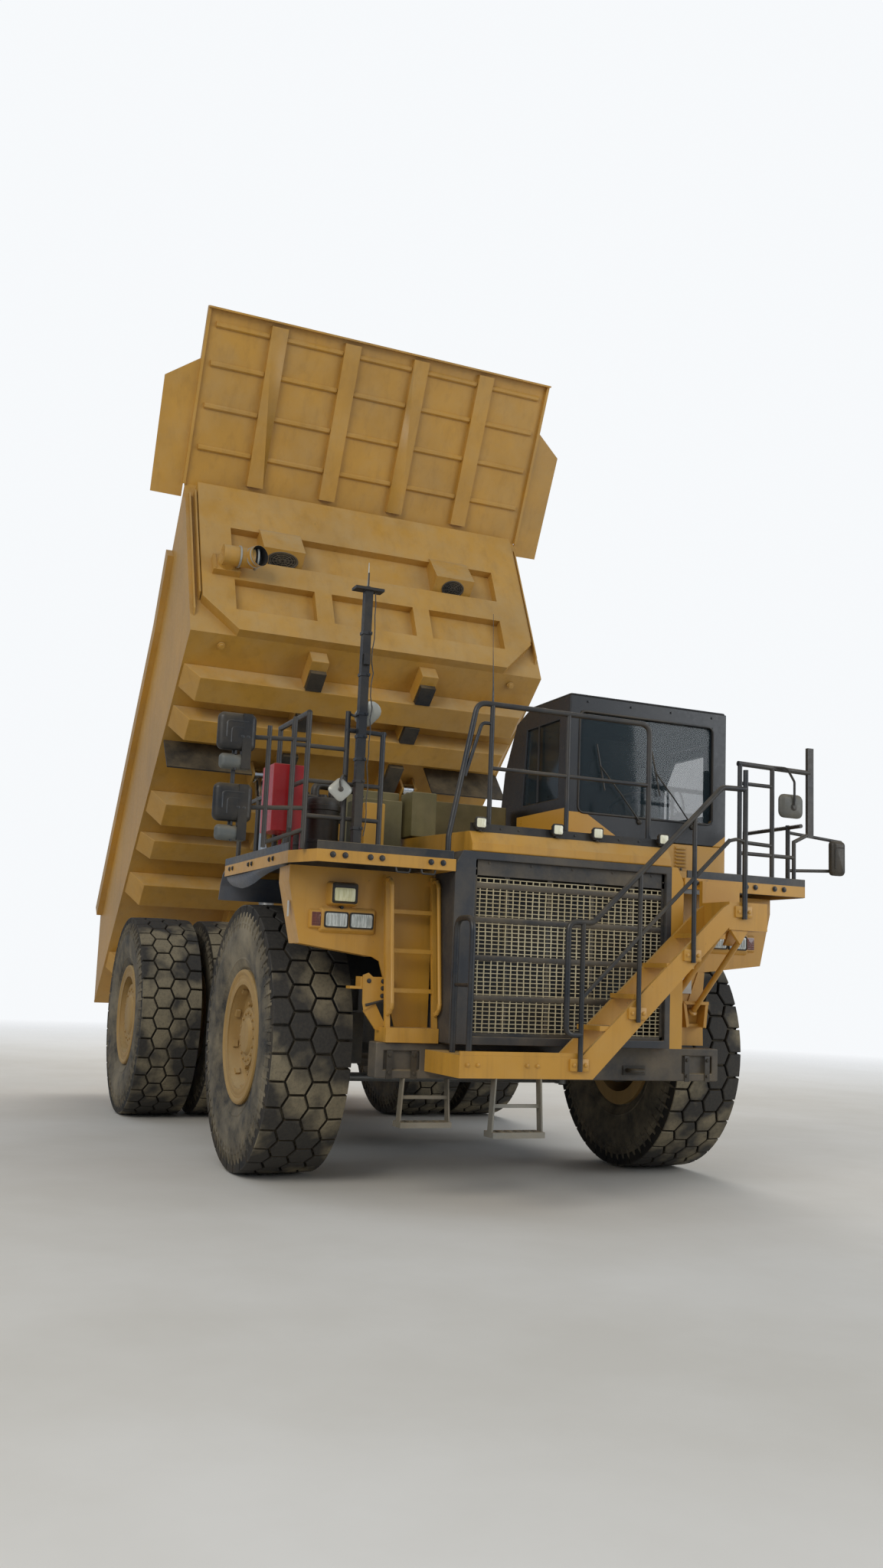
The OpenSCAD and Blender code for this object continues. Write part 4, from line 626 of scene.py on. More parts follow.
def rim_face(b, x, y, side, disc, hub_r, hub_face, nuts):
    axis = (0, side, 0)
    at = (x, y, AXLE_Z)
    b.lathe(FLANGE + [(0.4135, disc + 0.055), (0.404, disc + 0.02), (0.385, disc + 0.006),
        (0.372, disc + 0.0015), (hub_r + 0.001, disc + 0.0015)], at, axis, 72)
    b.lathe([(hub_r + 0.0012, disc), (hub_r + 0.008, disc + 0.012), (hub_r + 0.002, disc + 0.02),
        (hub_r + 0.0015, hub_face - 0.012), (hub_r - 0.012, hub_face + 0.0015),
        (hub_r * 0.66, hub_face + 0.002), (hub_r * 0.62, hub_face + 0.014),
        (hub_r * 0.54, hub_face + 0.026), (hub_r * 0.2, hub_face + 0.03),
        (0.001, hub_face + 0.031)], at, axis, 48)

    def around(count, r, h, size, tall):
        for k in range(count):
            a = tau * k / count
            b.bolt(round_axle(x, y + side * h, r, a), axis, size, tall)
    nut_circle = (hub_r + DISC_R) / 2 + 0.012
    around(nuts, nut_circle, disc + 0.001, 0.019, 0.03)
    around(16, hub_r * 0.83, hub_face + 0.001, 0.012, 0.014)
    # Clamps inside the flange
    for k in range(10):
        a = tau * (k + 0.3) / 10
        b.rings([[round_axle(x, y + side * (disc + h), r, a, s) for r, h in ((0.413, 0.05),
            (0.413, 0.085), (0.394, 0.08), (0.388, 0.046))] for s in (-0.03, 0.03)])
    # Valve
    b.tube([(x + dx, y + side * (disc + h), AXLE_Z + dz) for dx, h, dz in ((0.36, 0.002, 0.12),
        (0.365, 0.05, 0.122), (0.385, 0.1, 0.128))], 0.006, 8)


for side, tag in ((left, "left"), (right, "right")):
    for axle, x, y, *face in (("front_", FRONT_X, FRONT_Y, 0.15, 0.23, 0.22, 20),
            ("rear_", REAR_X, REAR_Y + TWIN, 0.08, 0.33, 0.24, 24)):
        b = Build()
        rim_face(b, x, side * y, side, *face)
        corner = axle + tag
        piece("rim_face_" + corner, b, ["rim_paint"], (), "wheel_" + corner, 30)


def round_rect(w, h, r, steps=4):
    """Rounded rectangle about the middle, in two coordinates."""
    pts = []
    for cx, cy, a0 in ((1, 1, 0), (-1, 1, 90), (-1, -1, 180), (1, -1, 270)):
        for k in range(steps + 1):
            a = radians(a0 + 90 * k / steps)
            pts.append((cx * (w / 2 - r) + r * cos(a), cy * (h / 2 - r) + r * sin(a)))
    return pts


def shell(b, layers, w, h, r, place, mat=0, caps=True):
    """Rounded rectangle lofted through layers of (grow, depth); place puts (u, v, depth)."""
    b.rings([[place(u, v, d) for u, v in round_rect(w + 2 * g, h + 2 * g, max(r + g, 0.002))]
        for g, d in layers], mat, caps=caps)


def dome(b, w, h, r, depth, rise, place, mat, rings=5):
    """Crowned lens closing a rounded rectangle."""
    outline = round_rect(w, h, r)
    rows = [[place(u * s, v * s, depth + rise * (1 - s * s)) for u, v in outline]
        for s in (1 - k / rings for k in range(rings))]
    b.rings(rows, mat, caps=False)
    n = len(outline)
    b.add(rows[-1], [tuple(range(n))], mat)


# Grille: mesh, dark frame, bars and bare top band
GRILLE_X, GRILLE_HALF, GRILLE_Z = 4.37, 0.819, (1.196, 2.476)
GRILLE_BARS = (1.47, 1.76, 2.04, 2.29)


def grille():
    z0, z1 = GRILLE_Z
    b = Build()
    side, edge, band = GRILLE_HALF, 0.024, 0.112
    for y_lo, z_lo, y_hi, z_hi in ((-side, z0, side, z0 + edge), (-side, z0, edge - side, z1),
            (side - edge, z0, side, z1), (-side, z1 - band, side, z1)):
        b.box((GRILLE_X - 0.03, y_lo, z_lo), (GRILLE_X, y_hi, z_hi), 1)
    bar = [(-0.03, -0.022), (-0.006, -0.022), (-0.001, -0.012), (-0.001, 0.012), (-0.006, 0.022),
        (-0.03, 0.022)]
    for z in GRILLE_BARS:
        b.prism([(GRILLE_X + dx, z + dz) for dx, dz in bar], 0.02 - side, side - 0.02, "y", 1)
    # Woven wires
    pitch_y, pitch_z = 0.0546, 0.0302
    columns = int(2 * GRILLE_HALF / pitch_y)
    rows = int((z1 - band - z0) / pitch_z)
    wave = random.Random(7)
    for i in range(1, columns + 1):
        y = -GRILLE_HALF + i * pitch_y
        if y > GRILLE_HALF - 0.02:
            continue
        lean = wave.uniform(-0.002, 0.002)
        pts = [(GRILLE_X - 0.01 + 0.0025 * (-1) ** (i + k), y + lean * sin(k),
            z0 + k * pitch_z * 2) for k in range(rows // 2 + 1)]
        b.tube(pts, 0.005, 6)
    for k in range(1, rows + 1):
        z = z0 + k * pitch_z
        sag = wave.uniform(-0.002, 0.002)
        pts = [(GRILLE_X - 0.01 - 0.0025 * (-1) ** (i + k // 2),
            -GRILLE_HALF + 0.01 + i * (2 * GRILLE_HALF - 0.02) / 15, z + sag * sin(i))
            for i in range(16)]
        b.tube(pts, 0.004, 5)
    # Struts behind the mesh, seen through it
    for y in (-0.54, -0.18, 0.18, 0.54):
        b.box((GRILLE_X - 0.0295, y - 0.02, z0 + 0.02), (GRILLE_X - 0.018, y + 0.02, z1 - 0.1), 1)
    # Bolts round the frame
    for y in (-GRILLE_HALF + 0.012, GRILLE_HALF - 0.012):
        for k in range(8):
            b.bolt((GRILLE_X, y, z0 + 0.06 + k * 0.165), X, 0.006, 0.005, 1)
    for y in (-0.7, -0.35, 0.0, 0.35, 0.7):
        b.bolt((GRILLE_X, y, z1 - 0.02), X, 0.008, 0.006, 1)
    piece("grille_mesh", b, ["grille_mesh", "grille_frame"], ("grille",), angle=50)


grille()

# Faces and lines that fittings sit on
PANEL_X, FOOT_X, BUMPER_X = 3.99, 3.9986, 4.1943
DECK_EDGE_X, HINGE_X, CAB_X = 4.4085, 4.0892, 3.6502
HOOD_LAMP_X = 4.35
DECK_SIDE_Y, BEAM_Z = 2.1685, 2.428


def lamp_place(y, z, x=PANEL_X):
    """Places (u, v, depth) on an upright face that looks forwards."""
    return lambda u, v, d: (x + d, y + u, z + v)


def head_lamps():
    """Lamps on the light panels and along the hood."""
    b = Build()
    for side in (left, right):
        # Upper lamp: yellow box, black bezel, lens
        y, z = side * 1.71, 2.18
        shell(b, [(0.02, 0.0005), (0.004, 0.072), (-0.006, 0.0785)], 0.2, 0.14, 0.006,
            lamp_place(y, z), 3)
        shell(b, [(0.0, 0.0745), (0.0, 0.086), (-0.008, 0.09), (-0.018, 0.08)], 0.194, 0.15, 0.016,
            lamp_place(y, z + 0.004), 1)
        dome(b, 0.158, 0.096, 0.012, 0.0805, 0.008, lamp_place(y, z - 0.006), 2)
        b.bolt((PANEL_X, y, 2.082), X, 0.014, 0.03, 1)
        b.bolt((PANEL_X, y - side * 0.09, 2.086), X, 0.006, 0.006, 3)
        # Twin lamps in black bezels on a yellow base
        z = 1.99
        shell(b, [(0.024, 0.0005), (0.004, 0.03), (-0.004, 0.036)], 0.402, 0.146, 0.006,
            lamp_place(side * 1.6575, z), 3)
        for y in (side * 1.56, side * 1.755):
            shell(b, [(0.0, 0.037), (0.0, 0.05), (-0.006, 0.053), (-0.01, 0.048)], 0.184, 0.118,
                0.016, lamp_place(y, z), 1)
            dome(b, 0.162, 0.096, 0.014, 0.0485, 0.007, lamp_place(y, z), 0)
            for k in range(6):
                dy = (k - 2.5) * 0.024
                b.tube([(PANEL_X + 0.0552, y + dy, 1.957), (PANEL_X + 0.0562, y + dy, 2.023)],
                    0.0022, 5)
        # Marker lamp
        y = side * 1.9
        shell(b, [(0.01, 0.0005), (0.0, 0.02), (-0.004, 0.024)], 0.09, 0.124, 0.006,
            lamp_place(y, z), 3)
        dome(b, 0.074, 0.106, 0.006, 0.0235, 0.006, lamp_place(y, z), 4)
        for k in range(5):
            b.tube([(PANEL_X + 0.0282, y + dy, 1.952 + 0.019 * k) for dy in (-0.03, 0.03)], 0.002,
                5, 4)
    # Hood lamps with their brackets and cables
    half = [(0.034, 2.7), (0.034, 2.706), (0.052, 2.726), (0.052, 2.752), (0.048, 2.752),
        (0.048, 2.728), (0.03, 2.7085)]
    for y in (-0.784, -0.139, 0.208, 0.801):
        place, front = lamp_place(y, 2.7515, HOOD_LAMP_X), HOOD_LAMP_X + 0.002
        shell(b, [(-0.02, 0.0), (-0.004, 0.014), (0.0, 0.03), (-0.004, 0.037)], 0.096, 0.09, 0.016,
            place, 1)
        dome(b, 0.078, 0.072, 0.012, 0.0365, 0.004, place, 5)
        for k in range(-3, 4):
            dy = k * 0.012
            b.box((front - 0.01, y + dy - 0.002, 2.722), (front, y + dy + 0.002, 2.782), 1)
        b.prism([(y + u, z) for u, z in half] + [(y - u, z) for u, z in reversed(half)], front,
            front + 0.022, "x", 1)
        b.bolt((front + 0.01, y, 2.69), Z, 0.012, 0.016, 1)
        b.tube([(HOOD_LAMP_X, y + 0.02, 2.735), (4.328, y + 0.03, 2.715), (4.315, y + 0.05, 2.7),
            (4.3, y + 0.08, 2.696)], 0.004, 6, 1)
    piece("lamps", b, ["lamp_glass", "black_plastic", "lamp_yellow", "body_paint",
        "lamp_marker", "lamp_pale"], ("headlamps",))


head_lamps()


def turned(centre, about_x, about_y):
    turn = Matrix.Rotation(radians(about_x), 3, "X") @ Matrix.Rotation(radians(about_y), 3, "Y")
    return lambda u, v, d: tuple(Vector(centre) + turn @ Vector((d, u, v)))


def mirrors():
    b = Build()

    def face(w, h, r, place, inset=0.012):
        """Glass at the back of a housing."""
        shell(b, [(-inset, -0.0008), (-inset - 0.002, 0.001)], w, h, r, place, 2)

    def bar(place, r, bend, *points):
        b.pipe([place(*q) for q in points], r, bend, 8, 3)

    # Two housings on the right, each with a small wide-angle mirror below
    x, y, w, h = 4.3175, -2.655, 0.27, 0.4
    upper, lower = 0.66 * h, 0.27 * h
    for z in (2.965, 2.47):
        place = lamp_place(y, z + h - upper / 2, x)
        below = lamp_place(y, z + lower / 2 + 0.004, x)
        shell(b, [(-0.012, 0.0), (0.0, 0.004), (0.0, 0.026), (-0.01, 0.044), (-0.03, 0.054),
            (-0.06, 0.0575)], w, upper, 0.042, place)
        face(w, upper, 0.036, place, 0.014)
        bar(place, 0.008, 0.03, (-0.08, -0.045, 0.052), (-0.08, 0.07, 0.053), (0.075, 0.07, 0.053))
        bar(place, 0.006, 0.03, (-0.045, -0.08, 0.053), (-0.045, 0.028, 0.053),
            (0.06, 0.028, 0.053), (0.06, -0.08, 0.05))
        for u in (0.035, 0.075):
            b.bolt(place(u, -0.035, 0.05), X, 0.013, 0.01, 3)
        b.box((x + 0.012, y + 0.035, z + 0.01), (x + 0.0585, y + 0.1, z + h - 0.004))
        shell(b, [(-0.01, 0.0), (0.0, 0.004), (0.0, 0.018), (-0.012, 0.04), (-0.034, 0.052)],
            0.82 * w, lower, 0.03, below, 1)
        face(0.82 * w, lower, 0.026, below)
        for ends in ((lower, h - upper), (lower * 0.55, -0.0005)):
            b.tube([(x + 0.03, y, z + end) for end in ends], 0.009, 8, 3)
    # Grey mirror on the left rail, its back to the front
    place = lamp_place(2.0, 3.1195, 4.3955)
    shell(b, [(-0.006, 0.0), (0.0, 0.004), (0.0, 0.016), (-0.01, 0.03), (-0.04, 0.04)], 0.236,
        0.196, 0.05, place, 1)
    face(0.236, 0.196, 0.045, place, 0.01)
    bar(place, 0.01, 0.05, (0.01, -0.005, 0.042), (0.01, 0.06, 0.05), (0.01, 0.2, 0.05),
        (-0.05, 0.31, 0.03), (-0.16, 0.316, -0.012))
    b.lathe([(0.03, 0.0), (0.03, 0.006), (0.016, 0.012), (0.016, 0.018)],
        place(0.01, -0.01, 0.034), X, 16, 3, True)
    # Outer mirror at the left corner
    place = lamp_place(2.618, 2.745, 4.2155)
    shell(b, [(-0.008, 0.0), (0.0, 0.004), (0.0, 0.026), (-0.012, 0.046), (-0.036, 0.0575)], 0.15,
        0.296, 0.036, place)
    face(0.15, 0.296, 0.03, place)
    bar(place, 0.007, 0.03, (-0.045, -0.09, 0.054), (-0.045, 0.09, 0.055), (0.045, 0.09, 0.055))
    # Pale round-cornered mirror on the right rail
    pale = turned((4.349, -1.883, 2.9), 45, -12)
    shell(b, [(-0.006, -0.014), (0.0, -0.01), (0.0, -0.002), (-0.01, 0.006), (-0.03, 0.01)], 0.142,
        0.142, 0.034, pale, 4)
    shell(b, [(-0.01, -0.0152), (-0.01, -0.0135)], 0.142, 0.142, 0.03, pale, 2)
    b.pipe([(4.36, -1.883, 2.905), (4.368, -1.895, 2.96), (4.352, -1.87, 3.005),
        (4.318, -1.838, 3.01)], 0.008, 0.03, 8, 3)
    b.lathe([(0.02, 0.0), (0.02, 0.006), (0.012, 0.012)], (4.358, -1.883, 2.902), X, 12, 3, True)
    piece("mirror_heads", b, ["black_plastic", "mirror_back", "mirror_face",
        "rail_steel", "pale_metal"], ("mirrors",))
    # Tilted convex mirror on top of the right rail
    b = Build()
    tipped = turned((4.335, -1.7, 3.47), -38, 35)
    shell(b, [(0.0, -0.008), (0.0, -0.002), (-0.012, 0.008), (-0.035, 0.014), (-0.06, 0.016)],
        0.15, 0.21, 0.07, tipped, 1)
    shell(b, [(-0.004, -0.0095), (-0.004, -0.007)], 0.15, 0.21, 0.066, tipped)
    b.pipe([(4.34, -1.705, 3.468), (4.322, -1.76, 3.45), (4.3, -1.8, 3.455), (4.3, -1.835, 3.47)],
        0.01, 0.03, 8, 2)
    piece("top_mirror", b, ["mirror_face", "pale_metal", "rail_steel"])


mirrors()


# Rails: smooth bent tubes over the CAD posts
HOOD_RAIL_X, HOOD_FOOT, HOOD_TOP = 4.31, 2.6905, 3.67
STAIR_RAIL_X, STAIR_FACE = 4.8313, 4.8102


def at_x(x, *points):
    return [(x, y, z) for y, z in points]


def rails():
    x, foot, top = HOOD_RAIL_X, HOOD_FOOT, HOOD_TOP
    b = Build()
    b.pipe(at_x(x, (0.698, foot), (0.698, top), (-0.817, top), (-1.012, 2.64), (-1.012, 2.464)),
        0.0215, 0.09, 12)
    for y in (-0.69, -0.035):
        b.tube(at_x(x, (y, foot), (y, top)), 0.0185, 12)
    b.tube(at_x(x, (-0.69, 3.18), (0.698, 3.18)), 0.0155, 12)
    # Outer loop that bends down beside the right end post
    b.pipe(at_x(x, (-0.7, 3.52), (-0.775, 3.52), (-0.9, 3.1)), 0.014, 0.06, 10)
    for y in (0.698, -0.69, -0.035):
        b.box((x - 0.075, y - 0.035, foot), (x + 0.022, y + 0.035, foot + 0.008))
        for dy in (0.02, -0.02):
            b.bolt((x - 0.052, y + dy, foot + 0.008), Z, 0.007, 0.006)
    # Whip aerial on its clamp
    b.tube([(x, -0.69, 3.66), (x, -0.692, 3.8), (x - 0.01, -0.7, 4.1), (x - 0.02, -0.704, 4.38)],
        [0.01, 0.006, 0.0022, 0.0016], 6)
    piece("hood_rail", b, ["rail_paint"], ("front_handrails",), angle=50)

    x = STAIR_RAIL_X
    b = Build()
    b.pipe(at_x(x, (-0.147, 1.24), (-0.272, 1.24), (-0.272, 2.04), (-0.075, 2.04), (1.03, 3.134),
        (1.251, 3.14)), 0.0215, 0.07, 12)
    for y0, z0, y1, z1, r in ((-0.152, 0.985, -0.152, 2.04, 0.019),
            (0.32, 1.34, 0.32, 2.424, 0.018), (0.787, 1.79, 0.787, 2.886, 0.018),
            (-0.149, 1.503, 1.104, 2.735, 0.016), (1.245, 2.138, 1.245, 3.29, 0.02)):
        b.tube(at_x(x, (y0, z0), (y1, z1)), r, 12)
    b.pipe([(x, 1.092, 2.727), (x + 0.002, 1.16, 2.745), (x, 1.252, 2.731)], 0.014, 0.05, 10)
    for y, z in ((-0.152, 1.03), (0.32, 1.405), (0.787, 1.845), (1.245, 2.195)):
        shell(b, [(0.0, 0.0), (0.0, 0.014), (-0.004, 0.017)], 0.15, 0.088, 0.01,
            lamp_place(y, z, STAIR_FACE), 1)
        for dy in (-0.048, 0.048):
            b.bolt((4.827, y + dy, z), X, 0.013, 0.01, 1)
    b.pipe([(4.5, -1.0, 1.0855), (4.5, -1.0, 2.03), (4.78, -1.0, 2.03), (4.78, -1.0, 1.0855)],
        0.0215, 0.1, 12)
    b.tube([(4.5, -1.0, 1.56), (4.78, -1.0, 1.56)], 0.014, 10)
    piece("stair_rail", b, ["rail_steel", "body_paint"], ("stair_rails",), angle=50)


rails()

# Places on the raised bed: drawn lowered, then turned up about the hinge
BED_HINGE, BED_RAISE = (-2.838, 1.448), radians(49.2)
WALL_FOOT, WALL_LEAN = (1.6, 1.94), atan2(0.87, 1.93)
CANOPY_FOOT, CANOPY_RISE = (2.47, 3.87), atan2(0.56, 1.865)


def on_bed(x, y, z):
    dx, dz = x - BED_HINGE[0], z - BED_HINGE[1]
    c, s = cos(BED_RAISE), sin(BED_RAISE)
    return (BED_HINGE[0] + dx * c - dz * s, y, BED_HINGE[1] + dx * s + dz * c)


def on_wall(x, y, z):
    """x out of the front wall, z up along it."""
    c, s = cos(WALL_LEAN), sin(WALL_LEAN)
    return on_bed(WALL_FOOT[0] + x * c + z * s, y, WALL_FOOT[1] - x * s + z * c)


def facing(place, x, z):
    """Direction that a placing call gives to (x, z)."""
    return Vector(place(x, 0, z)) - Vector(place(0, 0, 0))


def on_canopy(x, y, z):
    """x forwards along the canopy, z square to it."""
    c, s = cos(CANOPY_RISE), sin(CANOPY_RISE)
    return on_bed(CANOPY_FOOT[0] + x * c - z * s, y, CANOPY_FOOT[1] + x * s + z * c)


def plate(b, place, ring, ys, mat=0):
    """Outline in (x, z) extruded along y, put down by a placing call."""
    b.rings([[place(x, y, z) for x, z in ring] for y in ys], mat)


def bed_details():
    b = Build()
    # Stiffeners between the canopy ribs
    for x in (0.4, 0.86, 1.32, 1.74):
        for y0, y1 in ((-2.0, -1.39), (-1.19, -0.52), (-0.32, 0.33), (0.53, 1.17), (1.37, 2.0)):
            plate(b, on_canopy, [(x, -0.018), (x + 0.016, -0.034), (x + 0.046, -0.034),
                (x + 0.062, -0.018), (x + 0.062, -0.0004), (x, -0.0004)], (y0, y1))
    # Upright edge plates of the front wall with their gussets
    for side in (left, right):
        plate(b, on_wall, ((0.001, 0.42), (0.095, 0.47), (0.095, 1.955), (0.001, 1.985)),
            sorted((side * 1.972, side * 1.99)))
        plate(b, on_wall, ((0.001, 0.2), (0.06, 0.26), (0.06, 1.93), (0.001, 1.97)),
            sorted((side * 2.03, side * 2.046)))
    # Tapped bosses on the floor panels
    for y in (-1.72, 1.72):
        b.lathe([(0.045, 0.0), (0.045, 0.014), (0.03, 0.016), (0.03, 0.036), (0.018, 0.038)],
            on_bed(1.46, y, 1.9405), facing(on_bed, 0, -1), 16, 0, True)
    # Elbow: bolted flange, clamps, flared mouth
    axis = (0.9, 0.42, 0.05)
    root = on_wall(0.33, -1.462, 0.83)
    b.lathe([(0.088, -0.02), (0.11, 0.0), (0.11, 0.04), (0.114, 0.045), (0.114, 0.066),
        (0.109, 0.07), (0.11, 0.1), (0.115, 0.136), (0.117, 0.144), (0.113, 0.146)], root, axis,
        36)
    # Inside of the mouth, closed by a cone: soot, with painted shade for the dark pipe beyond
    b.lathe([(0.113, 0.146), (0.106, 0.136), (0.099, 0.1), (0.095, 0.06), (0.001, 0.04)], root,
        axis, 36, 1)
    for h in (0.045, 0.112):
        b.lathe([(0.11, h), (0.1175, h + 0.001), (0.1175, h + 0.017), (0.11, h + 0.018)], root,
            axis, 36, 2)
    for h in (0.12, 0.215):
        b.lathe([(0.1095, h - 0.01), (0.1215, h - 0.009), (0.1215, h + 0.009), (0.1095, h + 0.01)],
            on_wall(0.33, -1.84 + h, 0.83), Y, 28, 2)
    plate(b, on_wall, ((0.2105, 0.735), (0.2185, 0.735), (0.2185, 0.925), (0.2105, 0.925)),
        (-1.838, -1.82))
    for y, z in product((-1.83, -1.57), (0.745, 0.915)):
        b.bolt(on_wall(0.21, y, z), facing(on_wall, 1, 0), 0.012, 0.01)
    piece("bed_fittings", b, ["bed_paint", "soot_and_shade_black", "pale_metal"], (), "bed", 35)

    # Round gratings under the two boxes
    b = Build()
    for y, half_y in ((-1.04, 0.165), (1.04, 0.125)):
        cx, half_x, z = 2.158, 0.098, 2.8495

        def at(r, a, drop):
            return on_bed(cx + half_x * r * cos(a), y + half_y * r * sin(a), z - drop)
        turns = [tau * k / 40 for k in range(40)]
        b.rings([[at(r, a, d) for a in turns] for r, d in ((1.1, 0.0), (1.1, 0.007), (1.0, 0.009),
            (0.94, 0.002))], caps=False)
        # Black disc under the rings and spokes: painted shade of the grating's opening
        b.rings([[at(r, a, 0.002) for a in turns] for r in (0.94, 0.5, 0.02)], 1, caps=False)
        for r in (0.24, 0.46, 0.68, 0.86):
            b.rings([[at(r + dr, a, d) for a in turns] for dr, d in ((-0.03, 0.002),
                (-0.015, 0.006), (0.015, 0.006), (0.03, 0.002))], caps=False)
        for k in range(10):
            a = tau * k / 10
            b.tube([at(0.1, a, 0.005), at(0.92, a, 0.005)], 0.003, 5)
    piece("bed_gratings", b, ["grille_frame", "soot_and_shade_black"], (), "bed")


bed_details()


def deck_details():
    b = Build()
    # Paired bolts along the yellow edge beams
    for side in (left, right):
        for y in (1.09, 1.185, 1.563, 1.652, 1.841, 1.933):
            b.lathe([(0.024, 0.0), (0.024, 0.002), (0.02, 0.003)], (DECK_EDGE_X, side * y, BEAM_Z),
                X, 20, 0, True)
            b.bolt((DECK_EDGE_X + 0.003, side * y, BEAM_Z), X, 0.0165, 0.012, 1)
        for x in (2.42, 2.52, 3.02, 3.12, 3.62, 3.72):
            b.bolt((x, side * DECK_SIDE_Y, BEAM_Z), (0, side, 0), 0.015, 0.012, 1)
    # Loop handles under the edge
    for y in (-1.395, -1.198):
        b.pipe([(4.395, y - 0.055, 2.374), (4.398, y - 0.05, 2.34), (4.398, y + 0.05, 2.34),
            (4.395, y + 0.055, 2.374)], 0.007, 0.02, 8, 1)
    # Hinged plate and stay beside the ladder
    b.prism([(-1.548, 1.6), (-1.505, 1.618), (-1.47, 1.59), (-1.354, 1.592), (-1.346, 1.425),
        (-1.44, 1.402), (-1.53, 1.345), (-1.542, 1.4)], HINGE_X - 0.008, HINGE_X, "x")
    for y, z in ((-1.39, 1.56), (-1.39, 1.51), (-1.392, 1.455), (-1.5, 1.56)):
        b.bolt((HINGE_X, y, z), X, 0.013, 0.01, 1)
    b.prism([(-1.53, 1.3445), (-1.44, 1.4015), (-1.36, 1.255), (-1.395, 1.205), (-1.43, 1.212)],
        4.06, 4.0805, "x")
    b.tube([(4.0915, -1.52, 1.385), (4.0915, -1.35, 1.43)], 0.01, 8, 1)
    # Label plate without print on the cheek
    b.prism([(3.9, 2.115), (3.945, 2.115), (3.95, 2.0), (3.905, 2.0)], -2.0915, -2.0925, "y", 2)
    piece("deck_fittings", b, ["body_paint", "rail_steel", "label"])

    # Curved guard under the outer edge of the right deck: black plastic, painted grey-blue as sky
    # sheen
    b = Build()
    low = [(2.256, 2.3), (2.4, 2.282), (2.552, 2.266), (2.75, 2.272), (2.95, 2.29), (3.15, 2.318),
        (3.4, 2.344), (3.65, 2.36), (3.94, 2.368)]
    top = 2.3725
    rows = [[(x, -2.15 + 0.055 * t * t + 0.012 * sin(3 * x), top + (z - top) * t) for x, z in low]
        for t in (0.0, 0.25, 0.5, 0.75, 1.0)]
    outer = [[(x, y - 0.003, z) for x, y, z in row] for row in rows]
    b.rings(rows, wrap=False, caps=False)
    b.rings(outer, wrap=False, caps=False)
    b.rings([rows[-1], outer[-1]], wrap=False, caps=False)
    piece("side_guard", b, ["guard_grey"], angle=60)


deck_details()


def mast_details():
    b = Build()
    x, y = 4.352, -1.749
    for z in (2.62, 2.96, 3.12, 3.285, 3.45, 3.74, 4.05):
        b.box((x - 0.036, y - 0.036, z), (x + 0.036, y + 0.036, z + 0.022), 1)
        b.bolt((x + 0.036, y + 0.018, z + 0.011), X, 0.008, 0.01, 1)
    sway = random.Random(3)
    pts = [(x + 0.034, y + 0.04 + sway.uniform(0.0, 0.022), 4.36 - 0.085 * k) for k in range(22)]
    b.tube(rounded(pts, 0.05, 3), 0.0045, 6)
    b.box((x + 0.0305, y - 0.022, 3.82), (x + 0.062, y + 0.022, 3.9))
    b.tube([(x - 0.01, y, 4.395), (x - 0.01, y, 4.47), (x - 0.012, y, 4.6)], [0.01, 0.006, 0.003],
        8, 2)
    b.lathe([(0.03, 0.0), (0.028, 0.02), (0.012, 0.03)], (x - 0.01, y, 4.392), Z, 14, 0, True)
    piece("mast_fittings", b, ["black_plastic", "rail_steel", "pale_metal"])


mast_details()


def deck_drums():
    """Two dark drums behind the right rails, clamped and capped."""
    b = Build()
    for x, y, r, top in ((3.56, -1.76, 0.135, 2.93), (3.2, -1.8, 0.15, 2.99)):
        b.lathe([(r * 0.9, 2.464), (r, 2.48), (r, top - 0.1), (r + 0.01, top - 0.096),
            (r + 0.01, top - 0.06), (r, top - 0.056), (r * 0.97, top - 0.016), (r * 0.85, top),
            (r * 0.3, top + 0.006), (r * 0.28, top + 0.03)], (x, y, 0), Z, 32, 0, True)
        for z in (2.58, 2.76):
            b.lathe([(r, z), (r + 0.006, z + 0.002), (r + 0.006, z + 0.026), (r, z + 0.028)],
                (x, y, 0), Z, 32, 1)
            b.bolt((x + r + 0.006, y, z + 0.014), X, 0.01, 0.014, 1)
        b.pipe([(x, y + r * 0.6, top - 0.02), (x, y + r * 0.6, top + 0.1),
            (x - 0.05, y + 0.32, top + 0.1), (x - 0.05, y + 0.32, 2.8)], 0.035, 0.08, 12)
    piece("deck_drums", b, ["black_plastic", "rail_steel"])


deck_drums()


def tyre_ribs():
    """Radial ribs that run from the outer lugs down the shoulder."""
    # Radius, distance from the middle, half width
    steps = [(0.858, 0.32, 0.004), (0.876, 0.3262, 0.008), (0.915, 0.327, 0.012),
        (0.95, 0.3235, 0.015), (0.985, 0.3175, 0.017), (1.012, 0.305, 0.019),
        (1.034, 0.292, 0.019)]
    for node_name, (x, ys, body) in TYRE_SETS.items():
        b = Build()
        for y, side, k in product(ys, (-1, 1), range(2 * LUGS)):
            a = tau * k / (2 * LUGS)
            rows = [[round_axle(x, y + side * h, r, a, s) for s, h in ((-half, d - 0.022),
                (-half * 0.6, d), (half * 0.6, d), (half, d - 0.022))] for r, d, half in steps]
            b.rings(rows, wrap=False, caps=False)
            b.add(rows[0], [(0, 1, 2, 3)])
        piece("ribs_" + node_name, b, ["tyre_side"], (), body, 35)


tyre_ribs()


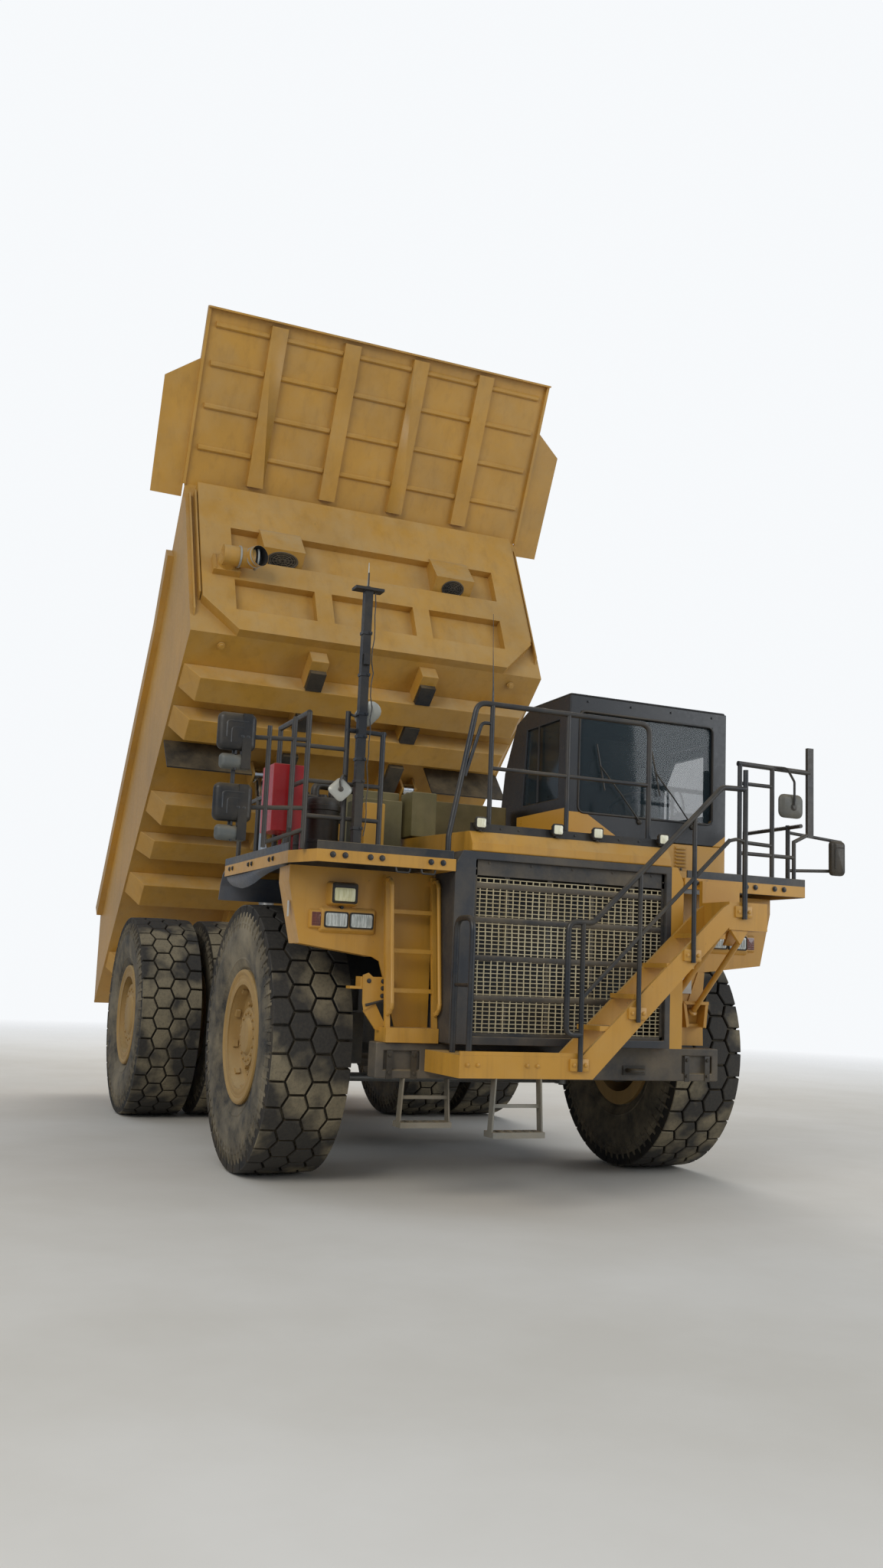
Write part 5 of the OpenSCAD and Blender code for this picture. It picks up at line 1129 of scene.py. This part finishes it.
def front_details():
    b = Build()
    # Dark strip behind the hood lamps
    b.box((4.3335, -0.852, 2.6915), (4.3375, 0.852, 2.752), 1)
    for y in (-0.6, -0.45, 0.03, 0.42, 0.6):
        b.bolt((4.3375, y, 2.722), X, 0.008, 0.005, 1)
    # Wide foot of the left panel, its channel and stay for the landing
    b.prism([(1.18, 1.145), (1.448, 1.145), (1.438, 1.5), (1.455, 1.735), (1.392, 1.735),
        (1.3, 1.5)], 3.9903, 3.9985, "x")
    for outline, front in (([(1.185, 1.5), (1.425, 1.5), (1.425, 1.475), (1.21, 1.475)], 4.11),
            ([(1.185, 1.5), (1.21, 1.5), (1.245, 1.3), (1.22, 1.29)], 4.105),
            ([(1.4, 1.5), (1.425, 1.5), (1.405, 1.29), (1.378, 1.3)], 4.105),
            ([(1.225, 1.32), (1.245, 1.298), (1.38, 1.298), (1.4, 1.32)], 4.03)):
        b.prism(outline, FOOT_X, front, "x")
    b.tube([(4.06, 1.315, 1.43), (4.61, 1.35, 1.975), (4.64, 1.352, 2.01)], 0.023, 12)
    b.lathe([(0.04, 0.0), (0.04, 0.012), (0.024, 0.022)], (4.04, 1.313, 1.412), (0.71, 0.03, 0.71),
        16, 0, True)
    # Label plate without print
    b.box((FOOT_X, 1.205, 1.56), (3.9996, 1.33, 1.69), 2)
    # Louvres beside the hood, under the windscreen
    for k in range(6):
        z = 2.628 + 0.03 * k
        b.prism([(3.6503, z), (3.664, z - 0.004), (3.666, z + 0.004), (3.6503, z + 0.017)], 1.385,
            1.48, "y")
    b.box((CAB_X, 1.372, 2.596), (3.6525, 1.493, 2.8))
    b.lathe([(0.011, 0.0), (0.011, 0.005), (0.007, 0.007)], (3.6526, 1.44, 2.606), X, 12, 1, True)
    # Toe plate of the stair platform and its bolts
    for y in (-1.02, -0.94, -0.56, -0.48, -0.2, -0.14):
        b.bolt((STAIR_FACE, y, 1.02), X, 0.013, 0.01)
    b.box((4.79, -1.075, 1.0853), (4.809, -0.16, 1.112))
    # Towing eyes and worn plates on the bumper
    for side in (left, right):
        b.pipe([(4.1945, side * 0.62, 0.955), (4.262, side * 0.62, 0.955),
            (4.262, side * 0.74, 0.955), (4.1945, side * 0.74, 0.955)], 0.017, 0.045, 10, 1)
        b.box((4.1942, side * 0.68 - 0.1, 0.92), (4.202, side * 0.68 + 0.1, 0.99), 1)
        for y in (1.165, 1.355):
            b.prism([(BUMPER_X + dx, z) for dx, z in ((0, 0.872), (0.006, 0.872), (0.006, 1.066),
                (0.004, 1.072), (0, 1.072))], side * y - 0.022, side * y + 0.022, "y", 1)
            for z in (0.915, 1.04):
                b.bolt((BUMPER_X + 0.0061, side * y, z), X, 0.012, 0.01, 1)
    piece("front_fittings", b, ["body_paint", "black_plastic", "label"], angle=35)


front_details()


def cab_details():
    b = Build()
    x = CAB_X
    # Bead along the roof edge, its bolts and two caps
    b.pipe([(2.93, 0.345, 4.006), (3.64, 0.345, 4.006), (3.64, 1.884, 4.006),
        (2.93, 1.884, 4.006)], 0.008, 0.03, 8)
    for y in (0.5, 0.92, 1.32, 1.74):
        b.bolt((x, y, 3.955), X, 0.009, 0.007)
    for y in (0.37, 1.87):
        b.lathe([(0.02, 0.0), (0.02, 0.016), (0.01, 0.022)], (3.6, y, 4.0005), Z, 12, 0, True)
    # Rubber round the windscreen
    loop = [(x + 0.001, 1.0905 + u, 3.44 + v) for u, v in round_rect(1.325, 0.858, 0.05)]
    b.tube(loop + loop[:2], 0.01, 6, 1)
    # Wipers
    for y0, y1 in ((1.02, 0.62), (1.55, 1.16)):
        b.tube([(x + 0.012, y0, 2.975), (x + 0.022, (y0 + y1) / 2, 3.2), (x + 0.015, y1, 3.42)],
            0.006, 6, 1)
        b.tube([(x + 0.008, y1 + 0.055, 3.215), (x + 0.008, y1 - 0.03, 3.6)], 0.007, 6, 1)
        b.lathe([(0.022, 0.0), (0.022, 0.012), (0.012, 0.02)], (x, y0, 2.975), X, 14, 1, True)
    # Centre post of the right window, grab handle beside the door
    b.box((3.085, 0.328, 3.142), (3.115, 0.3345, 3.808))
    b.pipe([(2.65, 1.9035, 2.95), (2.65, 1.945, 2.95), (2.65, 1.945, 3.45), (2.65, 1.9035, 3.45)],
        0.012, 0.03, 10)
    piece("cab_fittings", b, ["cab_paint", "black_plastic"])
    # Inside: dash top, dials and steering column
    b = Build()
    b.prism([(3.425, 2.9805), (3.598, 2.9805), (3.598, 2.995), (3.54, 3.025), (3.44, 3.02),
        (3.425, 3.0)], 0.66, 1.79, "y")
    b.prism([(3.448, 3.0205), (3.505, 3.028), (3.47, 3.16), (3.43, 3.15)], 0.98, 1.32, "y")
    for y in (1.05, 1.15, 1.25):
        b.lathe([(0.036, 0.0), (0.036, 0.006), (0.03, 0.008), (0.03, 0.004), (0.002, 0.004)],
            (3.442, y, 3.088), (-0.96, 0, 0.28), 20, 1)
    b.tube([(3.47, 1.15, 3.0), (3.315, 1.15, 3.145)], 0.028, 12)
    piece("cab_inside", b, ["cab_plastic", "label"])


cab_details()


def cushion(name, centre, size, axis):
    """Crowned pad with pinched sides and a piped seam; axis is its thin way."""
    w, h, d = size

    def place(u, v, t):
        off = {"z": (v, u, t), "x": (t, u, v)}[axis]
        return tuple(c + o for c, o in zip(centre, off))
    pinch = 0.035
    plan = [(u * (1 - pinch * (1 - (2 * v / h) ** 2)), v * (1 - pinch * (1 - (2 * u / w) ** 2)))
        for u, v in round_rect(w, h, 0.05, 6)]
    levels = [(0.2, -0.5), (0.55, -0.5), (0.84, -0.492), (0.945, -0.42), (0.985, -0.22),
        (0.99, 0.0), (0.985, 0.2), (0.945, 0.36), (0.86, 0.43), (0.7, 0.465), (0.655, 0.455),
        (0.6, 0.478), (0.4, 0.495), (0.2, 0.5)]
    b = Build()
    b.rings([[place(u * s, v * s, t * d) for u, v in plan] for s, t in levels])
    for t in (-0.22, 0.2):
        seam = [place(u * 0.988, v * 0.988, t * d) for u, v in plan]
        b.tube(seam + seam[:2], 0.0045, 6)
    obj = piece(name, b, ["seat_cloth"], angle=60)
    soft = obj.modifiers.new("soft", "SUBSURF")
    soft.levels = soft.render_levels = 1


b = Build()
b.box((2.76, 0.96, 2.5), (3.09, 1.34, 2.53))
for k in range(6):
    z, out = 2.535 + 0.036 * k, 0.0 if k % 2 else 0.02
    b.box((2.78 - out, 0.98 - out, z), (3.07 + out, 1.32 + out, z + 0.035))
b.box((2.755, 0.955, 2.752), (3.095, 1.345, 2.7995))
for y in (0.912, 1.388):
    b.pipe([(2.765, y, 3.02), (2.765, y, 3.075), (3.06, y, 3.085)], 0.024, 0.05, 10)
for y in (1.09, 1.21):
    b.tube([(2.73, y, 3.45), (2.73, y, 3.52)], 0.009, 8)
piece("seat_base", b, ["cab_plastic"], ("seat",))
cushion("seat_cushion", (2.965, 1.15, 2.88), (0.54, 0.53, 0.158), "z")
cushion("seat_back", (2.73, 1.15, 3.22), (0.5, 0.515, 0.138), "x")
cushion("seat_headrest", (2.73, 1.15, 3.562), (0.26, 0.155, 0.098), "x")
